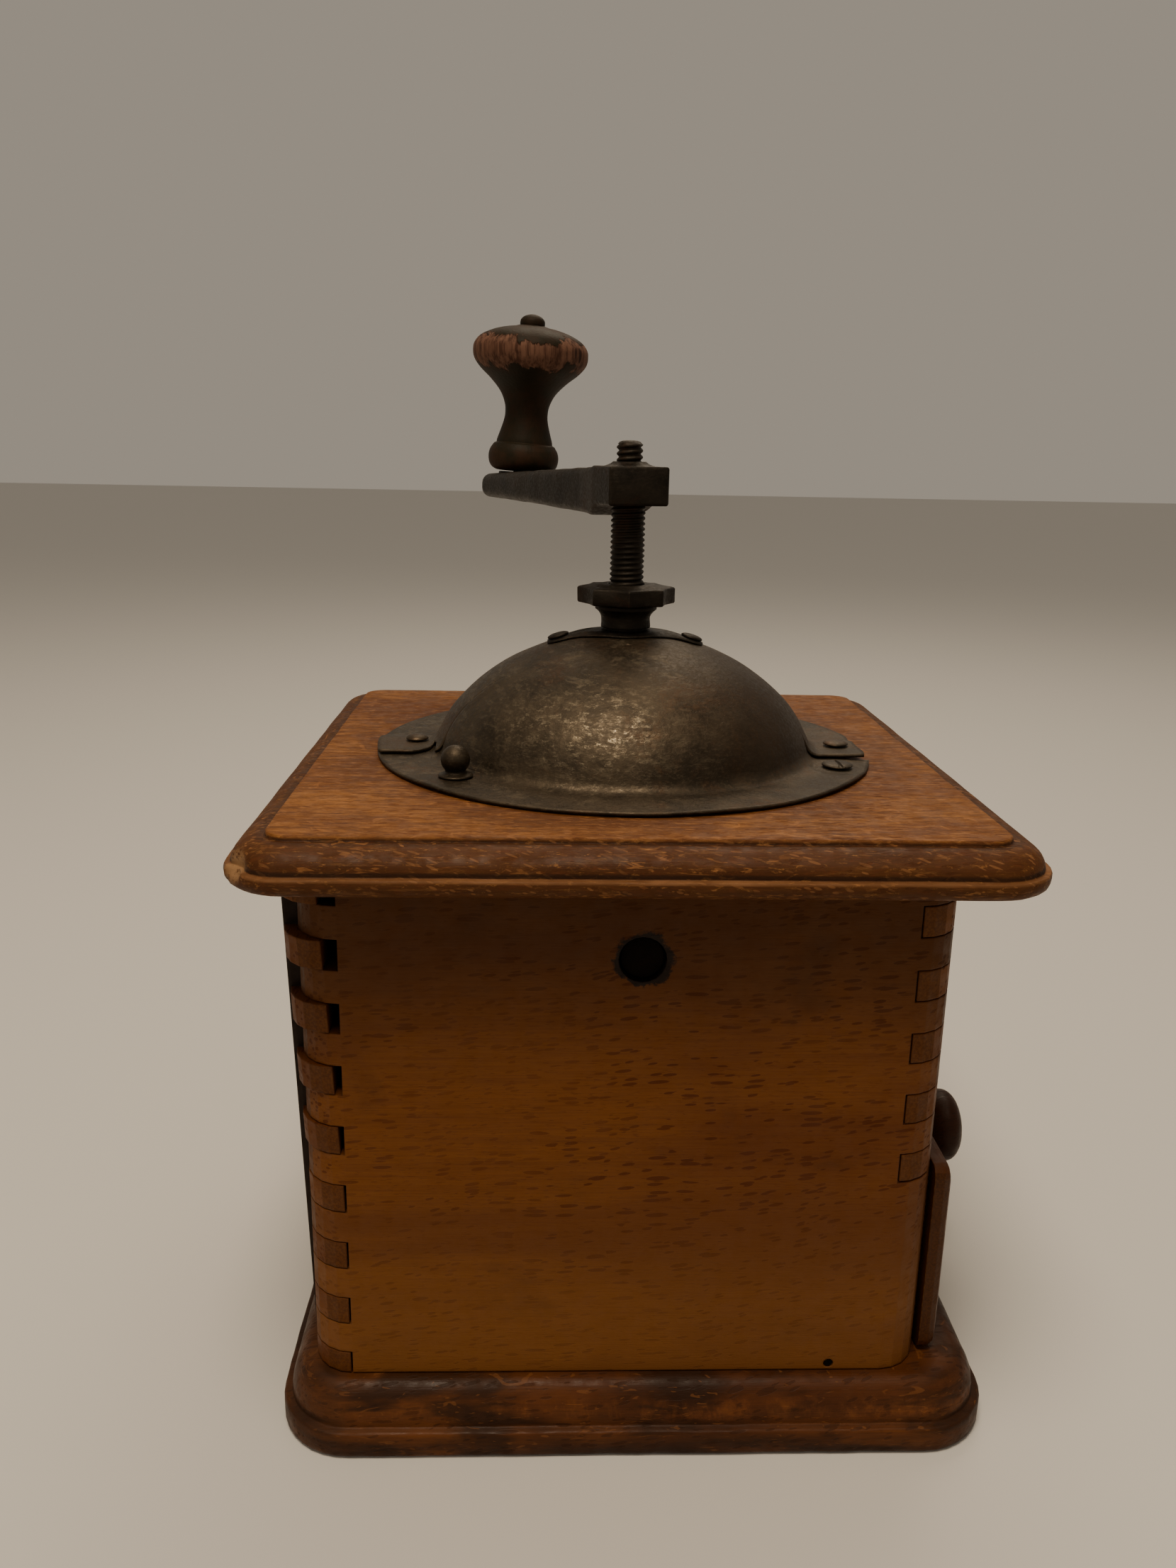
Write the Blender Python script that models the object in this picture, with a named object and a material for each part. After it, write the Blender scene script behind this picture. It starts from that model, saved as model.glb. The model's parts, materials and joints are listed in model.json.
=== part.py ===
"""Hand crank box coffee mill: finger-jointed beech case with a drawer, a domed steel hopper with a
swing door, and a cast burr mill on a threaded spindle turned by a crank.

Frame: origin on the spindle axis at the underside of the base, +Z up, +X towards the drawer.
Lengths below are in millimetres and are scaled to metres when a mesh is made.
"""
import math

import bmesh
import bpy
from mathutils import Matrix, Vector

MM = 0.001
GAP = 0.3               # clearance between pieces that touch
WELD = 2e-6             # metres: points closer than this are one point
SHEET = 0.6             # hopper sheet thickness

# base plate
BASE_X = (-74.2, 79.5)
BASE_Y = 72.7
BASE_TOP = 14.74
BASE_CORNER = 16.0
BASE_PILOT = 2.1        # radius of the hole round each base screw

# case boards
CASE_X = (-66.6, 63.6)
CASE_Y = 65.07
CASE_Z = (BASE_TOP + GAP, 125.8)
BOARD = 8.5
CASE_CORNER = 9.0
BOW_START = 57.0        # height above which the back board has bowed away from the sides
BOW_SLOPE = 0.05
BACK_PITCH = 13.32
BACK_FINGER = 6.2
BACK_TOP_ROW = 126.56
BACK_ROWS = 9
RAIL_BOTTOM = 60.8
RAIL_PITCH = 13.48
RAIL_FINGER = 6.5
RAIL_TOP_ROW = 120.86
RAIL_ROWS = 5
JOINT_PLAY = GAP / 2    # above and below each finger
SOCKET_PLAY = 0.4       # between a finger's root and its board

# lid
LID_HALF = 78.0
LID_Z = (126.1, 135.8)
LID_CORNER = 13.0
THROAT_RADIUS = 40.0

# hopper
DOME_RADIUS = 43.7
DOME_HEIGHT = 27.4
DOME_EXPONENT = 1.8
FLANGE_RADIUS = 57.5
REAR_FLANGE_TOP = 136.7
DOOR_FLANGE_TOP = 137.0
JOGGLE = 1.2            # the rear flange is stepped up over the door's flange by this much
SEAM_Y = -12.6
SEAM_GAP = 0.5
CROWN_HOLE = 5.3
DOOR_PIVOT = (46.9, -20.5)
DOOR_KNOB = (-37.3, -31.8)
CATCH_CENTRE = (-50.6, -5.0)
CATCH_RADIUS = 8.2
CATCH_TAB_INNER = -45.2
CATCH_SCREW = (-48.4, -2.2)
SIDE_RIVET = (50.3, -3.5)
REAR_SCREWS = ((-35.0, 37.5), (35.0, 37.5))
STRAP_HALF = 18.2
STRAP_SHEET = 0.6
STRAP_RIVET_X = 15.3

# mill under the lid
CROSS_Z = (104.6, 114.6)
CROSS_HALF = 42.0
SIDE_SCREW = (0.9, 109.6)
CASE_NAIL = (43.5, 16.5)
SCREW_HOLE = 1.8        # radius of the hole round each small screw
BURR_TEETH = 10
BURR_SCREW_X = 35.2
BRIDGE_SCREW_X = 37.0
BRIDGE_SCREW_Y = 5.0

# spindle, nut and crank
SPINDLE_RADIUS = 3.95
TENON_RADIUS = 3.0      # spindle's end, inside the crank's hub
NUT_Z = (170.4, 174.8)
NUT_RADIUS = 11.35
NUT_LOBES = 8
HUB_Z = (192.5, 201.0)
CRANK_TURN = math.radians(14.4)
CRANK_LENGTH = 105.0
EYE_RADIUS = 12.3
EYE_LOW = 190.0
ARM_HEEL = 189.5
GRIP_LEAN = math.radians(3.8)
GRIP_BASE = 197.6
PIN_RADIUS = 2.8

# drawer
DRAWER_FRONT_X = 68.5
LIP = 4.1
DRAWER_Z = (15.3, 60.4)
DRAWER_HALF = 55.8
DRAWER_BACK_X = -52.0
DRAWER_WALL_TOP = 56.0
DRAWER_WALL = 6.0
KNOB_Z = 35.0


def clear_scene():
    for old in list(bpy.data.objects):
        bpy.data.objects.remove(old, do_unlink=True)


def finish(name, colour, roughness, metallic):
    shader = bpy.data.materials.new(name)
    shader.use_nodes = True
    node = shader.node_tree.nodes["Principled BSDF"]
    node.inputs["Base Color"].default_value = (*colour, 1.0)
    node.inputs["Roughness"].default_value = roughness
    node.inputs["Metallic"].default_value = metallic
    return shader


# ---------------------------------------------------------------- outlines

def circle(radius, z, count=32, centre=(0.0, 0.0)):
    ring = []
    for i in range(count):
        angle = 2 * math.pi * i / count
        ring.append((centre[0] + radius * math.cos(angle), centre[1] + radius * math.sin(angle), z))
    return ring


def rounded_rectangle(x_range, y_range, radius, steps=5):
    """Plan outline, counter-clockwise, as (x, y) points."""
    x0, x1 = x_range
    y0, y1 = y_range
    corners = ((x1 - radius, y1 - radius, 0), (x0 + radius, y1 - radius, 90),
               (x0 + radius, y0 + radius, 180), (x1 - radius, y0 + radius, 270))
    outline = []
    for cx, cy, start in corners:
        for i in range(steps + 1):
            angle = math.radians(start + 90 * i / steps)
            outline.append((cx + radius * math.cos(angle), cy + radius * math.sin(angle)))
    return outline


def toothed_edge(edge, root, rows, z0, z1):
    """Climb from z0 to z1 along one end of a board, stepping from edge to root in each row."""
    points = []
    if rows[0][0] > z0:
        points.append((edge, z0))
    for low, high in rows:
        if low > z0:
            points.append((edge, low))
        points.append((root, max(low, z0)))
        points.append((root, min(high, z1)))
        if high < z1:
            points.append((edge, high))
    if rows[-1][1] < z1:
        points.append((edge, z1))
    return points


def finger_rows(top_row, pitch, height, count, play):
    """Rows from the bottom up, each grown by play (a negative play shrinks it)."""
    rows = []
    for i in reversed(range(count)):
        high = top_row - pitch * i
        rows.append((high - height - play, high + play))
    return rows


# ---------------------------------------------------------------- solids

def add_object(name, bm, material, smooth=None, place=None):
    bmesh.ops.recalc_face_normals(bm, faces=bm.faces)
    mesh = bpy.data.meshes.new(name)
    bm.to_mesh(mesh)
    bm.free()
    mesh.transform(Matrix.Scale(MM, 4))
    if smooth:
        mesh.shade_smooth()
        mesh.set_sharp_from_angle(angle=math.radians(smooth))
    if material:
        mesh.materials.append(material)
    piece = bpy.data.objects.new(name, mesh)
    if place:
        piece.matrix_world = place
    bpy.context.scene.collection.objects.link(piece)
    return piece


def skin(name, loops, material, closed=False, smooth=None, place=None):
    """A solid over equal-sized loops of points: capped at its ends, or closed into a ring."""
    bm = bmesh.new()
    rings = [[bm.verts.new(point) for point in loop] for loop in loops]
    count = len(rings[0])
    pairs = list(zip(rings, rings[1:]))
    if closed:
        pairs.append((rings[-1], rings[0]))
    else:
        bm.faces.new(rings[0])
        bm.faces.new(rings[-1])
    for lower, upper in pairs:
        for i in range(count):
            j = (i + 1) % count
            bm.faces.new((lower[i], lower[j], upper[j], upper[i]))
    return add_object(name, bm, material, smooth, place)


def turned(name, profile, material, closed=False, count=32, smooth=35, place=None):
    """Revolve (radius, z) points about Z; a closed profile leaves a bore."""
    return skin(name, [circle(r, z, count) for r, z in profile], material, closed, smooth, place)


def extruded(name, outline, axis, low, high, material, smooth=None):
    """Extrude a closed outline along X, Y or Z; the outline holds the other two coordinates."""
    def point(a, b, c):
        return {"X": (c, a, b), "Y": (a, c, b), "Z": (a, b, c)}[axis]
    loops = [[point(a, b, level) for a, b in outline] for level in (low, high)]
    return skin(name, loops, material, smooth=smooth)


def block(name, x_range, y_range, z_range, material):
    outline = [(x_range[0], y_range[0]), (x_range[1], y_range[0]),
               (x_range[1], y_range[1]), (x_range[0], y_range[1])]
    return extruded(name, outline, "Z", z_range[0], z_range[1], material)


def combine(target, tool, operation="DIFFERENCE"):
    """Apply an exact Boolean with the tool and drop the tool."""
    step = target.modifiers.new("cut", "BOOLEAN")
    step.operation = operation
    step.object = tool
    bpy.context.view_layer.update()
    depsgraph = bpy.context.evaluated_depsgraph_get()
    mesh = bpy.data.meshes.new_from_object(target.evaluated_get(depsgraph))
    target.modifiers.clear()
    bm = bmesh.new()
    bm.from_mesh(mesh)
    bmesh.ops.triangulate(bm, faces=[face for face in bm.faces if len(face.verts) > 4])
    bmesh.ops.remove_doubles(bm, verts=bm.verts, dist=WELD)
    bmesh.ops.dissolve_degenerate(bm, edges=bm.edges, dist=WELD)
    bm.to_mesh(mesh)
    bm.free()
    old = target.data
    target.data = mesh
    mesh.name = target.name
    bpy.data.meshes.remove(old)
    bpy.data.objects.remove(tool, do_unlink=True)
    return target


def drill(target, centre, radius, z_range, count=20):
    tool = turned("drill", [(radius, z_range[0]), (radius, z_range[1])], None, count=count,
                  place=Matrix.Translation((centre[0] * MM, centre[1] * MM, 0)))
    return combine(target, tool)


def along_y(x, z, facing):
    """Matrix that points a turned piece's +Z along Y (facing -1 looks out of the near side)."""
    turn = Matrix.Rotation(math.radians(90 * -facing), 4, "X")
    return Matrix.Translation((x * MM, 0, z * MM)) @ turn


def moulded_board(name, x_range, y_range, corner, profile, material):
    """A board whose edge follows (inset, z) points all round."""
    loops = []
    for inset, z in profile:
        plan = rounded_rectangle((x_range[0] + inset, x_range[1] - inset),
                                 (y_range[0] + inset, y_range[1] - inset), corner - inset)
        loops.append([(x, y, z) for x, y in plan])
    return skin(name, loops, material, smooth=30)


def quarter_round(start, end, steps, bulge_out=True):
    """Points of a quarter ellipse from start to end in the (inset, z) plane."""
    points = []
    for i in range(1, steps):
        angle = math.radians(90 * i / steps)
        if bulge_out:
            along, up = 1 - math.cos(angle), math.sin(angle)
        else:
            along, up = math.sin(angle), 1 - math.cos(angle)
        points.append((start[0] + (end[0] - start[0]) * along, start[1] + (end[1] - start[1]) * up))
    return points


# ---------------------------------------------------------------- case

def make_base(wood, steel):
    shoulder = (1.7, 6.5)
    top_edge = (6.8, BASE_TOP)
    profile = [(0.8, 0.0), (0.0, 0.8), (0.0, 5.6), (0.4, 5.96), (1.6, 5.96), shoulder]
    profile += quarter_round(shoulder, top_edge, 4)
    profile += [top_edge]
    base = moulded_board("base_plate", BASE_X, (-BASE_Y, BASE_Y), BASE_CORNER, profile, wood)
    for i, (sx, sy) in enumerate(((-1, -1), (1, -1), (1, 1), (-1, 1))):
        spot = base_screw_spot(sx, sy)
        drill(base, spot, 3.9, (-1, 3.0))
        drill(base, spot, BASE_PILOT, (2.0, BASE_TOP + 1))
        turned(f"base_screw_{i + 1}", [(3.5, 0.6), (3.5, 1.0), (1.8, 2.6), (1.8, 24.5), (0.4, 26.5)],
               steel, count=12, place=Matrix.Translation((spot[0] * MM, spot[1] * MM, 0)))
    return base


def base_screw_spot(side_x, side_y):
    return (side_x * 34.0 - 1.5, side_y * (CASE_Y - BOARD / 2))


def case_envelope():
    plan = rounded_rectangle(CASE_X, (-CASE_Y, CASE_Y), CASE_CORNER)
    return extruded("envelope", plan, "Z", CASE_Z[0] - 1, CASE_Z[1] + 1, None)


def make_side(name, side, wood, steel):
    """A side board, socketed for the back board's fingers and the front rail's fingers."""
    z0, z1 = CASE_Z
    back_sockets = finger_rows(BACK_TOP_ROW, BACK_PITCH, BACK_FINGER, BACK_ROWS, JOINT_PLAY)
    rail_sockets = finger_rows(RAIL_TOP_ROW, RAIL_PITCH, RAIL_FINGER, RAIL_ROWS, JOINT_PLAY)
    left = toothed_edge(CASE_X[0] - 1, CASE_X[0] + BOARD + SOCKET_PLAY, back_sockets, z0, z1)
    right = toothed_edge(CASE_X[1] + 1, CASE_X[1] - BOARD - SOCKET_PLAY, rail_sockets, z0, z1)
    outline = left + right[::-1]
    inner = side * (CASE_Y - BOARD)
    outer = side * (CASE_Y + 1)
    panel = extruded(name, outline, "Y", min(inner, outer), max(inner, outer), wood)
    combine(panel, case_envelope(), "INTERSECT")

    place = along_y(SIDE_SCREW[0], SIDE_SCREW[1], side)
    face = CASE_Y
    combine(panel, turned("sink", [(2.2, face - BOARD - 1), (2.2, face - 4.2), (4.7, face - 2.4),
                                   (4.7, face + 1)], None, count=20, place=place))
    label = "near" if side < 0 else "far"
    turned(f"side_screw_{label}", [(0.4, face - 24.0), (1.9, face - 22.0), (1.9, face - 3.6),
                                   (4.2, face - 1.9), (4.2, face - 1.2)],
           steel, count=20, place=place)

    nail_place = along_y(CASE_NAIL[0], CASE_NAIL[1], side)
    combine(panel, turned("pilot", [(1.1, face - BOARD - 1), (1.1, face + 1)], None, count=10,
                          place=nail_place))
    turned(f"case_nail_{label}", [(0.8, face - 7.5), (0.8, face - 0.2)], steel, count=10,
           place=nail_place)
    for side_x in (-1, 1):
        drill(panel, base_screw_spot(side_x, side), BASE_PILOT, (z0 - 1, 27.5), count=16)
    return panel


def make_back(wood):
    """The back board, whose fingers show on both sides and whose top has bowed outwards."""
    z0, z1 = CASE_Z
    rows = finger_rows(BACK_TOP_ROW, BACK_PITCH, BACK_FINGER, BACK_ROWS, -JOINT_PLAY)
    inner = CASE_Y - BOARD - GAP
    left = toothed_edge(-inner, -CASE_Y - 1, rows, z0, z1)
    right = toothed_edge(inner, CASE_Y + 1, rows, z0, z1)
    back = extruded("back_board", left + right[::-1], "X", CASE_X[0] - 1, CASE_X[0] + BOARD, wood)
    combine(back, case_envelope(), "INTERSECT")
    bm = bmesh.new()
    bm.from_mesh(back.data)
    for vertex in bm.verts:
        rise = vertex.co.z / MM - BOW_START
        if rise > 0:
            vertex.co.x -= rise * BOW_SLOPE * MM
    bmesh.ops.triangulate(bm, faces=bm.faces)
    bm.to_mesh(back.data)
    bm.free()
    return back


def make_rail(wood):
    z1 = CASE_Z[1]
    rows = finger_rows(RAIL_TOP_ROW, RAIL_PITCH, RAIL_FINGER, RAIL_ROWS, -JOINT_PLAY)
    inner = CASE_Y - BOARD - GAP
    left = toothed_edge(-inner, -CASE_Y - 1, rows, RAIL_BOTTOM, z1)
    right = toothed_edge(inner, CASE_Y + 1, rows, RAIL_BOTTOM, z1)
    rail = extruded("front_board", left + right[::-1], "X", CASE_X[1] - BOARD, CASE_X[1] + 1, wood)
    return combine(rail, case_envelope(), "INTERSECT")


def make_lid(wood):
    z0, z1 = LID_Z
    fillet = 129.87
    panel_inset = 7.7
    step = 1.0
    cove_top = (panel_inset - 0.6, z1 - step)
    profile = [(2.6, z0)] + quarter_round((2.6, z0), (0.0, z0 + 2.4), 3, bulge_out=False)
    profile += [(0.0, z0 + 2.4), (0.0, fillet - 0.3), (0.5, fillet), (1.4, fillet + 0.1)]
    profile += quarter_round((1.4, fillet + 0.1), cove_top, 4)
    profile += [cove_top, (panel_inset, z1 - step), (panel_inset + 0.1, z1 - 0.3),
                (panel_inset + 0.5, z1)]
    lid = moulded_board("lid_board", (-LID_HALF, LID_HALF), (-LID_HALF, LID_HALF), LID_CORNER,
                        profile, wood)
    drill(lid, (0, 0), THROAT_RADIUS, (z0 - 1, z1 + 1), count=32)
    for spot in (DOOR_PIVOT, CATCH_SCREW, SIDE_RIVET) + REAR_SCREWS:
        drill(lid, spot, 1.7, (z0 + 1.0, z1 + 1), count=8)
    return lid


# ---------------------------------------------------------------- hopper

def dome_height(radius):
    """Outer surface of the dome above its foot."""
    share = min(radius / DOME_RADIUS, 1.0)
    return DOME_HEIGHT * (1 - share ** DOME_EXPONENT) ** (1 / DOME_EXPONENT)


def dome_slope(radius):
    step = 0.05
    return math.atan2(dome_height(radius) - dome_height(radius + step), step)


def hopper_outline():
    """Outer face of the sheet as (radius, height above flange), from the crown hole outwards."""
    power = 2 / DOME_EXPONENT
    crown = math.acos((CROWN_HOLE / DOME_RADIUS) ** (1 / power))
    foot = math.radians(9)
    steps = 8
    line = []
    for i in range(steps + 1):
        angle = crown + (foot - crown) * i / steps
        line.append((DOME_RADIUS * math.cos(angle) ** power, DOME_HEIGHT * math.sin(angle) ** power))
    line += [(43.8, 1.5), (44.5, 0.5), (45.7, 0.0), (FLANGE_RADIUS, 0.0)]
    return line


def thicken(line, thickness):
    """Close an outline by its own offset on the under side."""
    under = []
    for i, here in enumerate(line):
        before = Vector(line[max(i - 1, 0)])
        after = Vector(line[min(i + 1, len(line) - 1)])
        run = (after - before).normalized()
        normal = Vector((run.y, -run.x))
        if i == len(line) - 1:
            normal = Vector((0.0, -1.0))
        under.append((here[0] + normal.x * thickness, here[1] + normal.y * thickness))
    return line + under[::-1]


def hopper_sheet(name, flange_top, steel, centre=(0.0, 0.0)):
    profile = [(r, z + flange_top) for r, z in thicken(hopper_outline(), SHEET)]
    sheet = turned(name, profile, steel, closed=True, count=48, smooth=30)
    if centre != (0.0, 0.0):
        offset = Vector((centre[0] * MM, centre[1] * MM, 0))
        sheet.data.transform(Matrix.Translation(-offset))
        sheet.location = offset
    return sheet


def smoothstep(value):
    value = min(max(value, 0.0), 1.0)
    return value * value * (3 - 2 * value)


def make_rear_shell(steel):
    """The fixed half, stepped up beside the seam so that the door's flange slides under it."""
    shell = hopper_sheet("hopper_rear", REAR_FLANGE_TOP, steel)
    for vertex in shell.data.vertices:
        beside_seam = smoothstep((9.0 - vertex.co.y / MM) / 9.0)
        low_down = smoothstep((REAR_FLANGE_TOP + 14.0 - vertex.co.z / MM) / 12.0)
        vertex.co.z += JOGGLE * beside_seam * low_down * MM
    reach = FLANGE_RADIUS + 5
    combine(shell, block("front_half", (-reach, reach), (-reach, SEAM_Y), (120, 180), None))

    cx, cy = CATCH_CENTRE
    foot = CATCH_TAB_INNER
    start = -math.acos((foot - cx) / CATCH_RADIUS)
    notch = [(cx, cy - CATCH_RADIUS - 2), (foot, cy - CATCH_RADIUS - 2)]
    for i in range(9):
        angle = start + (-math.pi / 2 - start) * i / 8
        notch.append((cx + CATCH_RADIUS * math.cos(angle), cy + CATCH_RADIUS * math.sin(angle)))
    combine(shell, extruded("notch", notch, "Z", 130, 138.6, None))
    for spot in (CATCH_SCREW, SIDE_RIVET) + REAR_SCREWS:
        drill(shell, spot, SCREW_HOLE, (134, 142), count=8)
    for side in (-1, 1):
        combine(shell, rivet_hole(side))
    return shell


def make_door(steel):
    """The swing door: the front half of the dome with a tongue of flange under the catch."""
    door = hopper_sheet("hopper_door", DOOR_FLANGE_TOP, steel, DOOR_PIVOT)
    reach = FLANGE_RADIUS + 5
    back_edge = SEAM_Y - SEAM_GAP
    keep = [(-reach, -reach), (reach, -reach), (reach, back_edge), (-46.0, back_edge),
            (-46.0, -6.0), (-reach, -6.0)]
    combine(door, extruded("keep", keep, "Z", 120, 180, None), "INTERSECT")
    drill(door, DOOR_PIVOT, 1.9, (130, 142), count=12)
    drill(door, DOOR_KNOB, 1.5, (130, 142), count=10)
    return door


def wood_screw(name, spot, seat, head, shank, depth, steel, dome=1.2):
    """A round-headed screw standing on a seat height."""
    profile = [(0.4, seat - depth), (shank, seat - depth + 1.5), (shank, seat + GAP),
               (head, seat + GAP), (head, seat + GAP + 0.35), (head * 0.75, seat + GAP + dome * 0.8),
               (head * 0.3, seat + GAP + dome)]
    return turned(name, profile, steel, count=12,
                  place=Matrix.Translation((spot[0] * MM, spot[1] * MM, 0)))


def make_hopper_fittings(steel):
    raised = REAR_FLANGE_TOP + JOGGLE
    pivot = wood_screw("door_pivot_screw", DOOR_PIVOT, DOOR_FLANGE_TOP, 3.4, 1.4, 8.0, steel, 0.9)
    slot = block("slot", (DOOR_PIVOT[0] - 0.4, DOOR_PIVOT[0] + 0.4),
                 (DOOR_PIVOT[1] - 4, DOOR_PIVOT[1] + 4), (DOOR_FLANGE_TOP + GAP + 0.45, 142), None)
    combine(pivot, slot)
    wood_screw("catch_screw", CATCH_SCREW, raised, 2.6, 1.4, 9.0, steel, 1.1)
    wood_screw("side_flange_screw", SIDE_RIVET, raised, 2.9, 1.4, 9.0, steel, 0.9)
    for i, spot in enumerate(REAR_SCREWS):
        wood_screw(f"rear_flange_screw_{i + 1}", spot, REAR_FLANGE_TOP, 2.8, 1.4, 8.0, steel)

    seat = DOOR_FLANGE_TOP + GAP
    ball = 3.1
    middle = seat + 3.4
    profile = [(1.1, DOOR_FLANGE_TOP - SHEET - 0.2), (1.1, seat), (3.7, seat), (3.7, seat + 0.45),
               (2.6, seat + 0.9)]
    for degrees in (-42, -22, 0, 25, 50, 70, 84):
        angle = math.radians(degrees)
        profile.append((ball * math.cos(angle), middle + ball * math.sin(angle)))
    turned("door_knob", profile, steel, count=16,
           place=Matrix.Translation((DOOR_KNOB[0] * MM, DOOR_KNOB[1] * MM, 0)))


def rivet_place(side):
    """Matrix of a strap rivet: on the dome's outer face, along its normal."""
    height = REAR_FLANGE_TOP + dome_height(STRAP_RIVET_X)
    tilt = Matrix.Rotation(side * dome_slope(STRAP_RIVET_X), 4, "Y")
    return Matrix.Translation((side * STRAP_RIVET_X * MM, 0, height * MM)) @ tilt


def rivet_hole(side):
    return turned("rivet_hole", [(1.4, -4), (1.4, 4)], None, count=12, place=rivet_place(side))


def make_strap(steel):
    """The lens-shaped strap over the crown that carries the spindle's collar."""
    lengths = 10
    across = 4
    centre_half = 8.2
    end_half = 2.8
    loops = []
    for i in range(lengths + 1):
        x = -STRAP_HALF + 2 * STRAP_HALF * i / lengths
        share = abs(x) / STRAP_HALF
        half = end_half + (centre_half - end_half) * (1 - smoothstep(share * 1.25))
        if share > 0.99:
            half *= 0.6
        top = []
        bottom = []
        for j in range(across + 1):
            y = -half + 2 * half * j / across
            seat = REAR_FLANGE_TOP + dome_height(math.hypot(x, y)) + GAP
            bottom.append((x, y, seat))
            top.append((x, y, seat + STRAP_SHEET))
        loops.append(bottom + top[::-1])
    strap = skin("crown_strap", loops, steel, smooth=30)
    drill(strap, (0, 0), CROWN_HOLE + 0.2, (150, 175), count=22)
    for side in (-1, 1):
        combine(strap, rivet_hole(side))
        head_seat = GAP + STRAP_SHEET + GAP
        label = "left" if side < 0 else "right"
        turned(f"strap_rivet_{label}", [(1.9, -2.0), (1.9, -1.1), (1.1, -1.1), (1.1, head_seat),
                                        (2.7, head_seat), (2.7, head_seat + 0.5),
                                        (1.6, head_seat + 1.1)],
               steel, count=12, place=rivet_place(side))


def make_collar(iron):
    bore = SPINDLE_RADIUS + GAP
    seat = REAR_FLANGE_TOP + DOME_HEIGHT + GAP + STRAP_SHEET + GAP
    profile = [(bore, 161.4), (5.0, 161.4), (5.0, seat), (5.9, seat), (5.75, seat + 0.6),
               (5.7, seat + 1.7), (5.95, seat + 2.5), (6.6, seat + 3.4), (7.1, seat + 3.9),
               (7.1, NUT_Z[0] - GAP), (bore, NUT_Z[0] - GAP)]
    return turned("bearing_collar", profile, iron, closed=True, count=22)


# ---------------------------------------------------------------- mill

def fluted(radius, z, depth, twist, teeth=BURR_TEETH):
    """A circle with saw teeth, turned on by twist to make helical flutes."""
    ring = []
    for tooth in range(teeth):
        start = 2 * math.pi * tooth / teeth + twist
        pitch = 2 * math.pi / teeth
        for share, cut in ((0.0, 0.0), (0.3, 0.0), (0.4, 1.0), (0.7, 0.55)):
            angle = start + pitch * share
            reach = radius - depth * cut
            ring.append((reach * math.cos(angle), reach * math.sin(angle), z))
    return ring


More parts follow.
